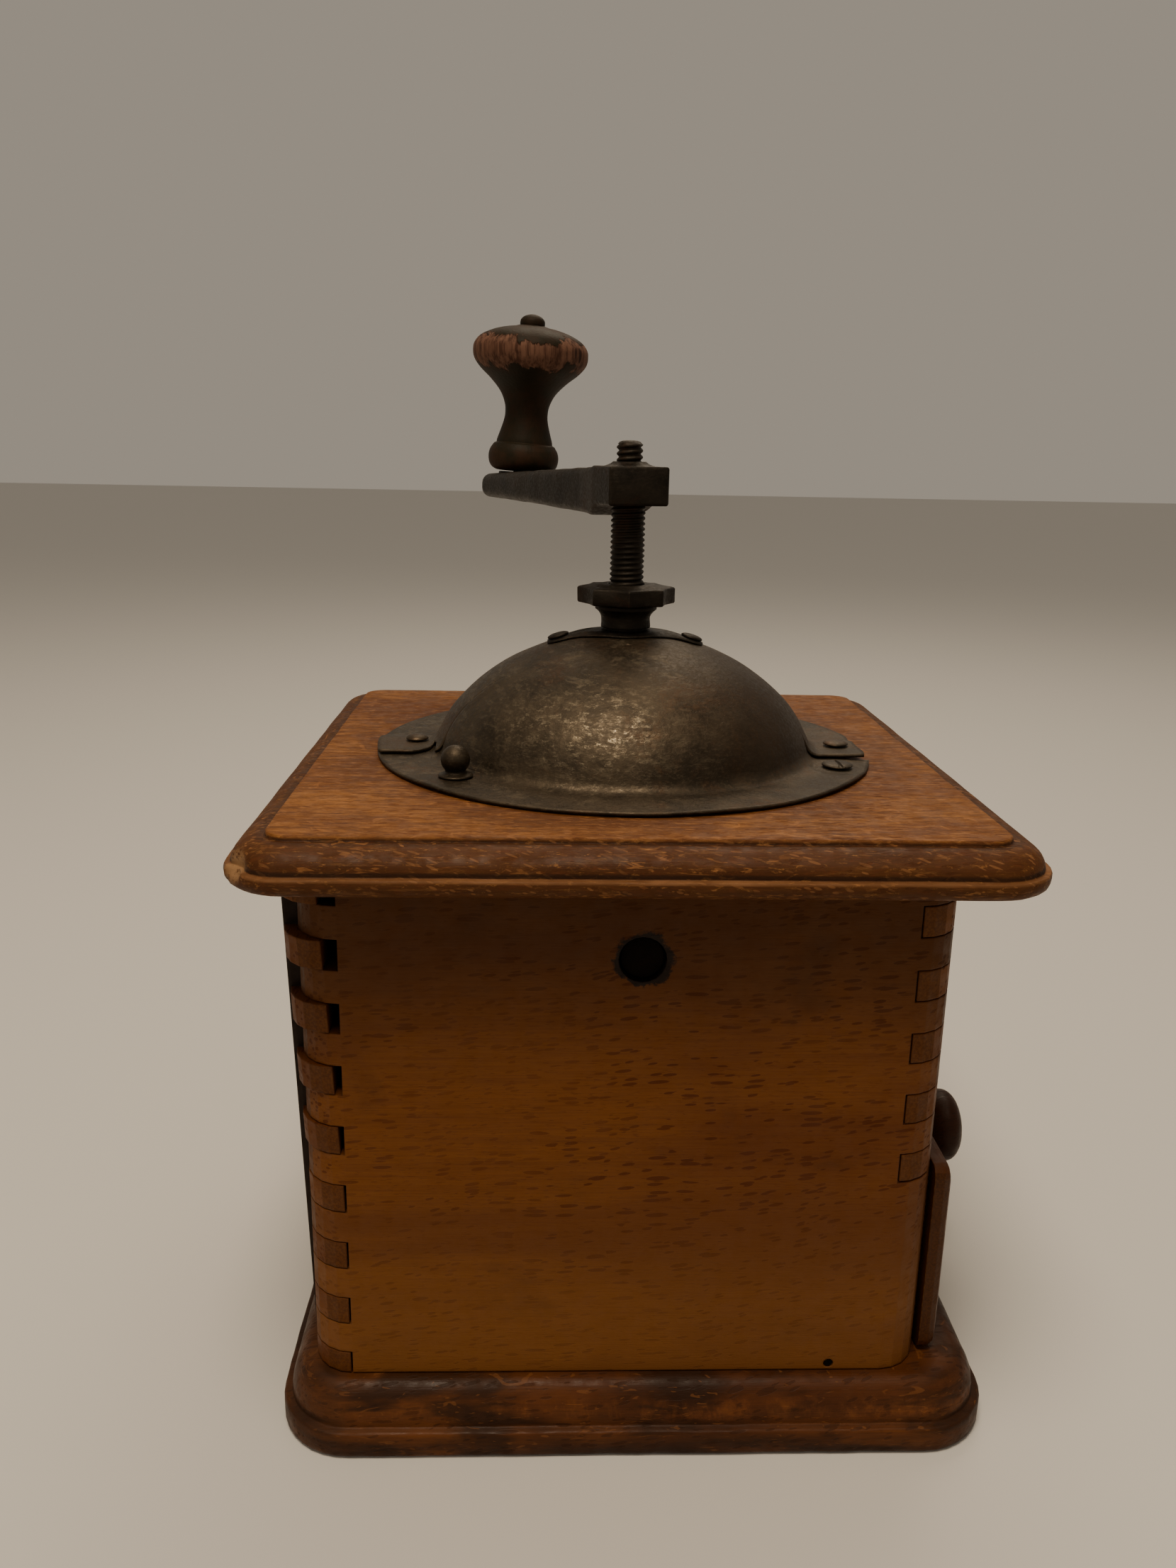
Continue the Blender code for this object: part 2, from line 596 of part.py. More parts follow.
def make_mill(wood, iron, steel):
    cross = block("mill_crossboard", (-CROSS_HALF, CROSS_HALF),
                  (-CASE_Y + BOARD + GAP, CASE_Y - BOARD - GAP), CROSS_Z, wood)
    drill(cross, (0, 0), 31.5, (CROSS_Z[0] - 1, CROSS_Z[1] + 1), count=32)
    for side in (-1, 1):
        pilot = turned("pilot", [(2.2, CASE_Y - 25.5), (2.2, CASE_Y)], None, count=16,
                       place=along_y(SIDE_SCREW[0], SIDE_SCREW[1], side))
        combine(cross, pilot)
        drill(cross, (side * BURR_SCREW_X, 0), SCREW_HOLE, (CROSS_Z[0] - 1, CROSS_Z[1] + 1), count=12)
        drill(cross, (side * BRIDGE_SCREW_X, BRIDGE_SCREW_Y), SCREW_HOLE, (CROSS_Z[0] - 1, CROSS_Z[0] + 7),
              count=12)

    under_lid = LID_Z[0] - GAP
    funnel = [(46.0, under_lid), (46.0, under_lid - 0.8), (40.0, under_lid - 0.8), (27.4, 117.6),
              (26.6, 116.2), (25.8, 116.2), (26.6, 118.2), (39.6, under_lid)]
    turned("bean_funnel", funnel, steel, closed=True, count=30)

    seat = CROSS_Z[1] + GAP
    count = 4 * BURR_TEETH
    outer = [(39.0, seat + 2.0), (39.0, seat), (31.0, seat), (30.6, 106.0), (24.0, 101.0),
             (24.0, 90.0)]
    loops = [circle(r, z, count) for r, z in outer]
    tooth = 0.9
    for radius, z, twist in ((18.9, 90.0, 0.0), (16.9, 95.0, 0.10), (14.6, 101.0, 0.22)):
        loops.append(fluted(radius + tooth, z, tooth, twist))
    loops.append(circle(15.2, 103.0, count))
    loops.append(circle(28.0, seat + 2.0, count))
    burr = skin("outer_burr", loops, iron, closed=True, smooth=30)
    for side in (-1, 1):
        drill(burr, (side * BURR_SCREW_X, 0), SCREW_HOLE, (seat - 1, seat + 3), count=12)
        wood_screw(f"burr_screw_{1 if side < 0 else 2}", (side * BURR_SCREW_X, 0), seat + 2.0, 3.0,
                   1.4, 10.0, steel)

    cone_loops = [circle(4.9, 91.0, count)]
    for radius, z, twist in ((17.0, 91.0, 0.0), (15.5, 95.0, 0.10), (13.2, 101.0, 0.25),
                             (10.8, 107.0, 0.42), (8.6, 111.0, 0.55)):
        cone_loops.append(fluted(radius, z, 1.4, twist))
    cone_loops.append(circle(4.9, 111.0, count))
    skin("inner_burr", cone_loops, iron, closed=True, smooth=30)

    hexagon = [circle(4.1, 87.2, 6), circle(7.4, 87.2, 6), circle(7.4, 90.6, 6), circle(4.1, 90.6, 6)]
    skin("cone_lock_nut", hexagon, steel, closed=True)

    leg = (31.0, 33.3)
    foot_end = 41.0
    foot_z = (CROSS_Z[0] - GAP - 2.0, CROSS_Z[0] - GAP)
    bar_z = (81.0, 83.2)
    right = [(leg[1], bar_z[0]), (leg[1], foot_z[0]), (foot_end, foot_z[0]), (foot_end, foot_z[1]),
             (leg[0], foot_z[1]), (leg[0], bar_z[1])]
    left = [(-x, z) for x, z in reversed(right)]
    bridge = extruded("spindle_bridge", right + left, "Y", -8.0, 8.0, iron)
    combine(bridge, turned("boss", [(7.0, 79.2), (7.0, 84.4)], None, count=24), "UNION")
    drill(bridge, (0, 0), 3.5, (75, 90), count=24)
    for side in (-1, 1):
        spot = (side * BRIDGE_SCREW_X, BRIDGE_SCREW_Y)
        drill(bridge, spot, SCREW_HOLE, (100, 106), count=12)
        turned(f"bridge_screw_{1 if side < 0 else 2}",
               [(1.5, foot_z[0] - GAP - 1.3), (3.0, foot_z[0] - GAP - 0.9), (3.0, foot_z[0] - GAP),
                (1.4, foot_z[0] - GAP), (1.4, CROSS_Z[0] + 4.5), (0.4, CROSS_Z[0] + 6.0)],
               steel, count=12, place=Matrix.Translation((spot[0] * MM, spot[1] * MM, 0)))


# ---------------------------------------------------------------- spindle, nut and crank

def make_spindle(iron):
    profile = [(2.4, 76.0), (3.2, 77.0), (3.2, 90.9), (4.6, 90.9), (4.6, 111.5), (SPINDLE_RADIUS, 112.4),
               (SPINDLE_RADIUS, HUB_Z[0] - GAP), (TENON_RADIUS, HUB_Z[0] - GAP), (TENON_RADIUS, 205.4),
               (2.2, 206.3), (1.0, 206.6)]
    return turned("spindle", profile, iron, count=20)


def make_nut(iron):
    """The scalloped nut that lifts the spindle and sets the grind."""
    per_lobe = 5
    count = NUT_LOBES * per_lobe
    bore = SPINDLE_RADIUS + GAP

    def scalloped(radius, z):
        ring = []
        for i in range(count):
            phase = (i % per_lobe) / per_lobe
            dip = 0.11 * math.sin(math.pi * phase) ** 2
            angle = 2 * math.pi * i / count
            ring.append((radius * (1 - dip) * math.cos(angle), radius * (1 - dip) * math.sin(angle), z))
        return ring

    low, high = NUT_Z
    loops = [circle(bore, low, count), scalloped(NUT_RADIUS - 1.0, low), scalloped(NUT_RADIUS, low + 0.8),
             scalloped(NUT_RADIUS, high - 1.2), scalloped(NUT_RADIUS - 1.2, high - 0.2),
             circle(7.0, high - 0.6, count), circle(6.2, high, count), circle(bore, high, count)]
    return skin("adjusting_nut", loops, iron, closed=True, smooth=35)


def crank_section(reach, half_width, low, high):
    """Rounded-rectangle section across the arm at a distance along it."""
    radius = min(1.6, half_width * 0.6)
    outline = rounded_rectangle((-half_width, half_width), (low, high), radius, steps=3)
    return [(across, reach, z) for across, z in outline]


def make_crank(iron):
    """The arm is drawn along +Y and then turned about the spindle."""
    drop = 3.9
    top = HUB_Z[1]

    def top_at(reach):
        return top - drop * max(reach - 7, 0) / (CRANK_LENGTH - 7)

    stations = [(-7.6, 5.6, HUB_Z[0] + 0.8, top - 0.8), (-6.8, 7.0, HUB_Z[0], top),
                (1.0, 7.1, HUB_Z[0], top), (6.0, 7.2, HUB_Z[0] - 1.5, top),
                (9.0, 6.9, ARM_HEEL + 0.2, top_at(9)), (12.0, 6.55, ARM_HEEL, top_at(12)),
                (20.0, 6.2, ARM_HEEL + 0.3, top_at(20)),
                (55.0, 8.7, EYE_LOW, top_at(55)), (86.0, 11.0, EYE_LOW, top_at(86))]
    for degrees in (-4, 18, 38, 56, 71, 84):
        angle = math.radians(degrees)
        reach = CRANK_LENGTH + EYE_RADIUS * math.sin(angle)
        ease = 1.6 * smoothstep((degrees - 30) / 60)
        stations.append((reach, EYE_RADIUS * math.cos(angle), EYE_LOW + ease, top_at(reach) - ease))
    arm = skin("crank_arm", [crank_section(*station) for station in stations], iron, smooth=40)
    combine(arm, turned("cone", [(5.4, top - 1), (5.4, top + 0.1), (3.9, top + 1.0)], None, count=24),
            "UNION")
    drill(arm, (0, 0), TENON_RADIUS + GAP, (180, 210), count=24)
    drill(arm, (0, 0), SPINDLE_RADIUS + GAP, (180, HUB_Z[0]), count=24)
    arm.data.transform(Matrix.Rotation(CRANK_TURN, 4, "Z"))
    seat = turned("eye_seat", [(7.2, -2.0), (7.2, -GAP)], None, count=24, place=grip_place())
    combine(arm, seat, "UNION")
    hole = turned("pin_hole", [(PIN_RADIUS + GAP, -20), (PIN_RADIUS + GAP, 10)], None, count=20,
                  place=grip_place())
    return combine(arm, hole)


def grip_place():
    """Matrix of the grip pin: at the arm's eye, leaning a little towards +X."""
    x = -CRANK_LENGTH * math.sin(CRANK_TURN)
    y = CRANK_LENGTH * math.cos(CRANK_TURN)
    return Matrix.Translation((x * MM, y * MM, GRIP_BASE * MM)) @ Matrix.Rotation(GRIP_LEAN, 4, "Y")


def make_grip(wood, iron):
    bore = PIN_RADIUS + GAP
    top = 42.0
    profile = [(5.0, 0.0), (8.4, 0.4), (9.5, 0.9), (10.45, 2.5), (10.65, 4.4), (10.2, 6.3), (9.0, 7.6),
               (8.5, 8.35), (8.3, 9.5), (7.4, 12.0), (6.6, 14.8), (6.4, 17.0), (6.8, 19.7), (8.4, 23.0),
               (11.3, 26.3), (14.8, 29.2), (16.8, 31.7), (17.3, 34.0), (16.9, 36.2), (15.1, 38.5),
               (11.7, 40.3), (7.5, 41.5), (bore, top), (bore, 0.0)]
    turned("grip", profile, wood, closed=True, count=24, smooth=50, place=grip_place())
    head = top + GAP
    pin = [(PIN_RADIUS - 0.4, -8.0), (PIN_RADIUS, -7.6), (PIN_RADIUS, head), (3.6, head),
           (3.6, head + 1.2), (3.0, head + 2.2), (1.4, head + 2.9)]
    turned("grip_pin", pin, iron, count=12, place=grip_place())


# ---------------------------------------------------------------- drawer

def make_drawer(wood, knob_wood, steel):
    z0, z1 = DRAWER_Z
    lip_back = DRAWER_FRONT_X - LIP
    board_back = 56.0
    front = block("drawer_front", (board_back, lip_back + 1), (-DRAWER_HALF, DRAWER_HALF),
                  (z0, z1 - 0.2), wood)
    lip_loops = []
    for inset, x in ((0.0, lip_back), (0.0, DRAWER_FRONT_X - 2.0), (0.6, DRAWER_FRONT_X - 0.7),
                     (2.0, DRAWER_FRONT_X)):
        plan = rounded_rectangle((-60.0 + inset, 60.0 - inset), (z0 + inset, z1 - inset), 2.4, steps=3)
        lip_loops.append([(x, y, z) for y, z in plan])
    combine(front, skin("lip", lip_loops, None), "UNION")
    place = Matrix.Translation((0, 0, KNOB_Z * MM)) @ Matrix.Rotation(math.radians(90), 4, "Y")
    combine(front, turned("bolt_hole", [(1.9, board_back - 1), (1.9, DRAWER_FRONT_X + 1)], None,
                          count=16, place=place))

    back_end = board_back - GAP
    wall_z = (z0, DRAWER_WALL_TOP)
    inner = DRAWER_HALF - DRAWER_WALL
    for side in (-1, 1):
        span = sorted((side * inner, side * DRAWER_HALF))
        label = "near" if side < 0 else "far"
        block(f"drawer_side_{label}", (DRAWER_BACK_X, back_end), span, wall_z, wood)
    block("drawer_back", (DRAWER_BACK_X, DRAWER_BACK_X + DRAWER_WALL), (-inner + GAP, inner - GAP),
          wall_z, wood)
    block("drawer_bottom", (DRAWER_BACK_X + DRAWER_WALL + GAP, back_end), (-inner + GAP, inner - GAP),
          (z0 + 1.7, z0 + 4.7), wood)

    start = DRAWER_FRONT_X + GAP
    knob = [(0.4, start + 11.9), (1.9, start + 11.6), (1.9, start), (5.4, start), (5.2, start + 1.2),
            (4.2, start + 3.4), (4.0, start + 6.6), (4.7, start + 9.8), (6.6, start + 12.4),
            (8.4, start + 14.6), (9.2, start + 17.2), (8.8, start + 19.2), (7.0, start + 20.9),
            (3.9, start + 21.8), (0.5, start + 22.0)]
    turned("drawer_knob", knob, knob_wood, count=22, smooth=50, place=place)
    head_seat = board_back - GAP - 0.2
    bolt = [(2.2, head_seat - 1.8), (3.6, head_seat - 1.0), (3.6, head_seat), (1.6, head_seat),
            (1.6, start + 9.5), (0.4, start + 11.5)]
    turned("knob_screw", bolt, steel, count=16, place=place)


def main():
    clear_scene()
    beech = finish("beech", (0.30, 0.12, 0.045), 0.55, 0.0)
    lid_wood = finish("lid_wood", (0.34, 0.12, 0.05), 0.5, 0.0)
    base_wood = finish("base_wood", (0.14, 0.045, 0.02), 0.5, 0.0)
    drawer_wood = finish("drawer_wood", (0.28, 0.12, 0.045), 0.6, 0.0)
    grip_paint = finish("grip_paint", (0.05, 0.035, 0.022), 0.5, 0.0)
    hopper_steel = finish("hopper_steel", (0.10, 0.08, 0.06), 0.45, 0.85)
    iron = finish("iron", (0.05, 0.04, 0.03), 0.6, 0.7)
    screw_steel = finish("screw_steel", (0.12, 0.10, 0.08), 0.5, 0.8)

    make_base(base_wood, screw_steel)
    make_side("side_board_near", -1, beech, screw_steel)
    make_side("side_board_far", 1, beech, screw_steel)
    make_back(beech)
    make_rail(beech)
    make_lid(lid_wood)
    make_rear_shell(hopper_steel)
    make_door(hopper_steel)
    make_hopper_fittings(screw_steel)
    make_strap(hopper_steel)
    make_collar(iron)
    make_mill(beech, iron, screw_steel)
    make_spindle(iron)
    make_nut(iron)
    make_crank(iron)
    make_grip(grip_paint, iron)
    make_drawer(drawer_wood, drawer_wood, screw_steel)


main()
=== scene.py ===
"""The looks of the hand crank coffee mill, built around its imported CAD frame.

Lengths are in millimetres and are scaled to metres when a mesh is made. Every mesh is drawn in the
row frame, so a material's object coordinates are the place on the mill at rest.
"""
import json
import math

import bmesh
import bpy
from mathutils import Matrix, Vector, noise

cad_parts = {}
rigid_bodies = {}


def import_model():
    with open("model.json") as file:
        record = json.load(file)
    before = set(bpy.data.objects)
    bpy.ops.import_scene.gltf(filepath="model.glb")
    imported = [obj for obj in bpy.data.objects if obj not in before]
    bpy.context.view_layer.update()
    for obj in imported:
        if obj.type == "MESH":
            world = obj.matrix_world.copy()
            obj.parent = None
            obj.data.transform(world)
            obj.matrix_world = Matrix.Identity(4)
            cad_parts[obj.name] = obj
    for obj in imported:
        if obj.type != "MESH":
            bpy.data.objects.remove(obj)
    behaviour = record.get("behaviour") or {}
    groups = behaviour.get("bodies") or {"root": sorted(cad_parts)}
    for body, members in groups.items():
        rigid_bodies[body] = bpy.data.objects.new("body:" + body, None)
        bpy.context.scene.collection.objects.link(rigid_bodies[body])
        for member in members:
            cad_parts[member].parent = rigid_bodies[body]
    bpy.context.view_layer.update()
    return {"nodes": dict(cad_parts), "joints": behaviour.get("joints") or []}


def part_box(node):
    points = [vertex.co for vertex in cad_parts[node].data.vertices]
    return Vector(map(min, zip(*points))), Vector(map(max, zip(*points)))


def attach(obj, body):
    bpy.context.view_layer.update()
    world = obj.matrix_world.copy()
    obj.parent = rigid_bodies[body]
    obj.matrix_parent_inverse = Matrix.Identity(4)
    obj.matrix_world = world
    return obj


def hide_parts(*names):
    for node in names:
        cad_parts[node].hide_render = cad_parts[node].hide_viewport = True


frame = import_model()
MM = 0.001


def mm_box(node):
    low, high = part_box(node)
    return low / MM, high / MM


def mm_column(node):
    """A node's two corners, and the move that takes the upright axis to its middle."""
    low, high = mm_box(node)
    middle = (low + high) / 2
    return low, high, Matrix.Translation((middle.x, middle.y, 0))


# Places read from the frame.

LID_LOW, LID_HIGH = mm_box("lid_board")
BASE_LOW, BASE_HIGH = mm_box("base_plate")
REAR_HIGH = mm_box("hopper_rear")[1]
DOOR_LOW, DOOR_HIGH = mm_box("hopper_door")
NUT_LOW, NUT_HIGH = mm_box("adjusting_nut")
COLLAR_LOW, COLLAR_HIGH = mm_box("bearing_collar")
SPINDLE_LOW, SPINDLE_HIGH = mm_box("spindle")
ARM_HIGH = mm_box("crank_arm")[1]
KNOB_LOW, KNOB_HIGH = mm_box("drawer_knob")
JOINTS = {joint["name"]: joint for joint in frame["joints"]}
GRIP_POINT = Vector(JOINTS["grip_spin"]["pos_m"]) / MM
GRIP_AXIS = Vector(JOINTS["grip_spin"]["axis"]).normalized()
DOOR_PIVOT = Vector(JOINTS["door_swing"]["pos_m"]) / MM
UP = (0, 0, 1)


# Materials.

def per_axis(axis, along, across):
    """A vector with one value along an axis and another on the other two."""
    return [along if i == axis else across for i in range(3)]


class Graph:
    """A Principled material, the colour laid on it so far, and short calls for its nodes."""

    def __init__(self, name, metallic=0.0, specular=0.5):
        self.material = bpy.data.materials.new(name)
        self.material.use_nodes = True
        self.tree = self.material.node_tree
        self.shader = self.tree.nodes["Principled BSDF"]
        self.shader.inputs["Metallic"].default_value = metallic
        self.shader.inputs["Specular IOR Level"].default_value = specular
        self.place = self.node("TexCoord").outputs["Object"]
        self.colour = None

    def node(self, kind, inputs=None, **settings):
        made = self.tree.nodes.new("ShaderNode" + kind)
        for key, value in settings.items():
            setattr(made, key, value)
        for key, value in (inputs or {}).items():
            self.feed(made.inputs[key], value)
        return made

    def feed(self, socket, value):
        if isinstance(value, bpy.types.NodeSocket):
            self.tree.links.new(value, socket)
        else:
            socket.default_value = value

    def math(self, operation, first, second=0.0, clamp=False):
        made = self.node("Math", {0: first, 1: second}, operation=operation, use_clamp=clamp)
        return made.outputs[0]

    def times(self, first, second):
        return self.math("MULTIPLY", first, second)

    def plus(self, first, second):
        return self.math("ADD", first, second)

    def minus(self, first, second):
        return self.math("SUBTRACT", first, second)

    def vector(self, operation, first, second, output="Vector"):
        made = self.node("VectorMath", {0: first, 1: second}, operation=operation)
        return made.outputs[output]

    def dot(self, first, second):
        return self.vector("DOT_PRODUCT", first, second, "Value")

    def stretched(self, per_mm, shift=(0.0, 0.0, 0.0)):
        """Object coordinates times a number of cells per millimetre along each axis."""
        scale = [cells / MM for cells in per_mm]
        node = self.node("VectorMath", {0: self.place, 1: scale, 2: shift},
                         operation="MULTIPLY_ADD")
        return node.outputs[0]

    def noise(self, per_mm, detail=3.0, roughness=0.55, distortion=0.0, shift=(0.0, 0.0, 0.0)):
        made = self.node("TexNoise", {"Vector": self.stretched(per_mm, shift), "Scale": 1.0,
                                                "Detail": detail, "Roughness": roughness,
                                                "Distortion": distortion})
        return made.outputs["Fac"]

    def cells(self, place):
        return self.node("TexVoronoi", {"Vector": place, "Scale": 1.0}, feature="F1").outputs

    def dashes(self, axis, length, width, keep, lean=-0.10):
        """Scattered lens-shaped marks along an axis, a share of them kept, in wavy leaning rows."""
        run = self.dot(self.place, per_axis(axis, 1.0, 0.0))
        wave = self.noise((0.022, 0.022, 0.022), 1.0, 0.5, 0.0, (4.0, 4.0, 9.0))
        sway = 9.0 * MM
        shift = self.plus(self.times(run, lean), self.times(wave, sway))
        moved = self.node("VectorMath", {0: per_axis(axis, 0.0, 1.0), "Scale": shift},
                          operation="SCALE").outputs[0]
        size = per_axis(axis, 1 / (length * MM), 1 / (width * MM))
        lens = self.cells(self.vector("MULTIPLY", self.vector("ADD", self.place, moved), size))
        chance = self.node("SeparateColor", {"Color": lens["Color"]}).outputs
        reach = self.minus(lens["Distance"], self.times(chance["Green"], 0.12))
        kept = self.ramp(chance["Red"], 1.0 - keep - 0.04, 1.0 - keep + 0.04)
        return self.times(self.ramp(reach, 0.32, 0.26), kept)

    def ramp(self, value, low, high, out_low=0.0, out_high=1.0):
        """Smooth step of a value between two limits."""
        made = self.node("MapRange", {"Value": value, "From Min": low, "From Max": high,
                                                "To Min": out_low, "To Max": out_high},
                         interpolation_type="SMOOTHSTEP")
        return made.outputs["Result"]

    def band(self, value, start, full, fade, end):
        """1 from full to fade, with a smooth step on either side."""
        return self.times(self.ramp(value, start, full), self.ramp(value, end, fade))

    def mix(self, factor, first, second):
        made = self.node("Mix", data_type="RGBA")
        colours = [socket for socket in made.inputs if socket.type == "RGBA"]
        self.feed(made.inputs["Factor"], factor)
        for socket, colour in zip(colours, (first, second)):
            self.feed(socket, colour if isinstance(colour, bpy.types.NodeSocket) else (*colour, 1.0))
        return next(socket for socket in made.outputs if socket.type == "RGBA")

    def paint(self, factor, colour, amount=None):
        """Lay a colour over the colour so far, where a factor is 1, by an amount."""
        self.colour = self.mix(self.times(factor, amount) if amount else factor, self.colour, colour)

    def stain(self, value, low, high, amount, colour):
        """Lay a colour over the colour so far, rising with a value to an amount."""
        self.paint(self.ramp(value, low, high, 0.0, amount), colour)

    def near(self, centre, inner, outer):
        """1 within inner millimetres of a point, falling to 0 at outer."""
        gap = self.vector("DISTANCE", self.place, [c * MM for c in centre], "Value")
        return self.ramp(gap, outer * MM, inner * MM)

    def along(self, axis, origin=(0.0, 0.0, 0.0)):
        """Distance in millimetres along an axis from an origin."""
        shifted = self.vector("SUBTRACT", self.place, [c * MM for c in origin])
        return self.dot(shifted, [a / MM for a in axis])

    def facing(self, axis, low):
        """1 where the surface is square to an axis, from 0 where it is turned away past a low limit."""
        normal = self.node("TexCoord").outputs["Normal"]
        square = self.dot(normal, per_axis(axis, 1.0, 0.0))
        return self.ramp(self.math("ABSOLUTE", square), low, 0.9)

    def edges(self, radius):
        """0 on flat ground, rising at edges; also gives the rounded normal."""
        rounded = self.node("Bevel", {"Radius": radius * MM}, samples=6).outputs["Normal"]
        flat = self.node("NewGeometry").outputs["Normal"]
        return self.math("SUBTRACT", 1.0, self.dot(rounded, flat), clamp=True), rounded

    def shade_in_crevices(self, reach):
        """Ambient occlusion for painted shade: 1 in the open, falling in the piece's own corners and grooves.
        """
        made = self.node("AmbientOcclusion", {"Distance": reach * MM}, samples=6,
                         only_local=True)
        return made.outputs["AO"]

    def finished(self, rough, height, depth, normal):
        """The material, with its colour so far and a bump of a 0 to 1 height over a depth in millimetres."""
        bump = self.node("Bump", {"Height": height, "Strength": 1.0, "Distance": depth * MM,
                                            "Normal": normal})
        for socket, value in (("Base Color", self.colour), ("Roughness", rough), ("Normal", bump.outputs[0])):
            self.feed(self.shader.inputs[socket], value)
        return self.material


def wood(name, axis, light, dark, fleck, gloss=0.56, fleck_amount=0.78, round_edge=0.5,
         grime_and_shade=(0.012, 0.004, 0.002), wear=None, wear_amount=0.6, extra=None):
    """Aged beech with its grain along one axis (0, 1 or 2), with painted shade in its own corners."""
    graph = Graph(name, specular=0.16)
    broad = graph.noise(per_axis(axis, 0.010, 0.03), 3.0, 0.6, 0.6)
    streak = graph.noise(per_axis(axis, 0.014, 0.45), 5.0, 0.6, 0.4)
    fibre = graph.noise(per_axis(axis, 0.09, 3.0), 3.0, 0.6)
    graph.colour = graph.mix(graph.ramp(broad, 0.34, 0.68), light, dark)
    graph.stain(streak, 0.48, 0.74, 0.45, dark)
    graph.stain(fibre, 0.35, 0.78, 0.30, fleck)

    flame = graph.noise((0.020, 0.020, 0.035), 2.0, 0.5, 0.0, (9.0, 2.0, 4.0))
    rays = graph.math("MAXIMUM", graph.dashes(axis, 6.2, 1.1, 0.30),
                      graph.dashes(axis, 4.0, 0.9, 0.28, -0.16))
    dashes = graph.times(rays, graph.ramp(flame, 0.30, 0.56, 0.40, 1.0))
    fine = graph.noise(per_axis(axis, 0.55, 3.2), 1.0, 0.4, 0.3, (1.0, 5.0, 8.0))
    pores = graph.ramp(fine, 0.60, 0.72, 0.0, 0.40)
    marks = graph.math("MAXIMUM", dashes, pores)

    end_grain = graph.facing(axis, 0.72)
    marks = graph.times(marks, graph.minus(1.0, end_grain))
    graph.paint(marks, fleck, fleck_amount)
    hatch = graph.noise(per_axis(axis, 0.05, 1.9), 4.0, 0.7, 0.0, (5.0, 5.0, 5.0))
    ends = graph.mix(graph.ramp(hatch, 0.35, 0.65), tuple(p * 0.62 for p in light),
                     tuple(p * 0.50 for p in dark))
    graph.paint(end_grain, ends, 0.8)

    edge, rounded = graph.edges(round_edge)
    smudge = graph.noise((0.035, 0.035, 0.05), 4.0, 0.62, 0.6, (4.0, 1.0, 2.0))
    graph.stain(smudge, 0.55, 0.78, 0.35, grime_and_shade)
    # Painted shade: the piece's own corners and grooves are darkened by ambient occlusion.
    corner = graph.ramp(graph.shade_in_crevices(5.0), 0.30, 0.92, 0.85, 0.0)
    graph.paint(corner, grime_and_shade)
    if wear:
        rub = graph.noise((0.25, 0.25, 0.6), 4.0, 0.7, 0.0, (6.0, 6.0, 1.0))
        worn = graph.times(graph.ramp(edge, 0.03, 0.25), graph.ramp(rub, 0.42, 0.62))
        graph.paint(worn, wear, wear_amount)
    if extra:
        extra(graph)
    scuffs = graph.noise((0.3, 0.3, 0.3), 4.0, 0.6)
    rough = graph.plus(graph.ramp(scuffs, 0.3, 0.7, gloss - 0.1, gloss + 0.14), graph.times(marks, 0.12))
    height = graph.minus(graph.times(fibre, 0.3), graph.times(marks, 0.25))
    height = graph.plus(height, graph.times(streak, 0.35))
    return graph.finished(rough, height, 0.12, rounded)


def steel(name, base, bright, rust, polish_and_highlight=None, rust_amount=0.5, gloss=0.5, grain=0.6, edge_radius=0.35,
          shine=0.68, tint_and_shade=None):
    """Dark, patinated steel: mottled scale, fine scratches, rust bloom and optional worn-bright areas with
    painted highlight glints.
    """
    graph = Graph(name, metallic=shine, specular=0.5 * shine)
    mottle = graph.noise((0.09, 0.09, 0.12), 5.0, 0.65, 0.5)
    speck = graph.noise((1.1, 1.1, 1.4), 4.0, 0.7)
    pits = graph.cells(graph.stretched((0.75, 0.75, 0.9)))["Distance"]
    edge, rounded = graph.edges(edge_radius)
    dark = tuple(part * 0.45 for part in base)
    graph.colour = graph.mix(graph.ramp(mottle, 0.35, 0.68), base, dark)
    graph.stain(speck, 0.50, 0.75, 0.5, tuple(p * 1.7 for p in base))
    bloom = graph.noise((0.05, 0.05, 0.08), 5.0, 0.7, 0.8, (2.0, 8.0, 5.0))
    rusty = graph.times(graph.ramp(bloom, 0.50, 0.70), graph.ramp(speck, 0.3, 0.6))
    graph.paint(rusty, rust, rust_amount)
    if tint_and_shade:
        tint_and_shade(graph)
    rough = graph.ramp(speck, 0.25, 0.75, gloss - 0.1, gloss + 0.18)
    scratch = graph.noise((0.25, 0.9, 6.0), 2.0, 0.6, 0.2)
    rub = graph.times(graph.ramp(edge, 0.04, 0.3), graph.ramp(speck, 0.38, 0.6))
    if polish_and_highlight:
        area = polish_and_highlight(graph)
        # Worn bright metal and painted highlight: broken bright glints laid over the rubbed area.
        crackle = graph.noise((0.42, 0.42, 0.95), 8.0, 0.85, 0.2, (3.0, 3.0, 3.0))
        broken = graph.ramp(crackle, 0.515, 0.63, 0.0, 0.8)
        worn_and_painted_glint = graph.times(area, broken)
        rub = graph.math("MAXIMUM", rub, worn_and_painted_glint)
    graph.paint(rub, bright, 0.9)
    rough = graph.minus(rough, graph.times(rub, 0.22))
    height = graph.plus(graph.times(speck, 0.8), graph.times(pits, 0.35))
    height = graph.plus(height, graph.times(mottle, 1.0))
    height = graph.minus(height, graph.ramp(scratch, 0.62, 0.72, 0.0, 0.12))
    return graph.finished(rough, height, 0.10 * grain, rounded)


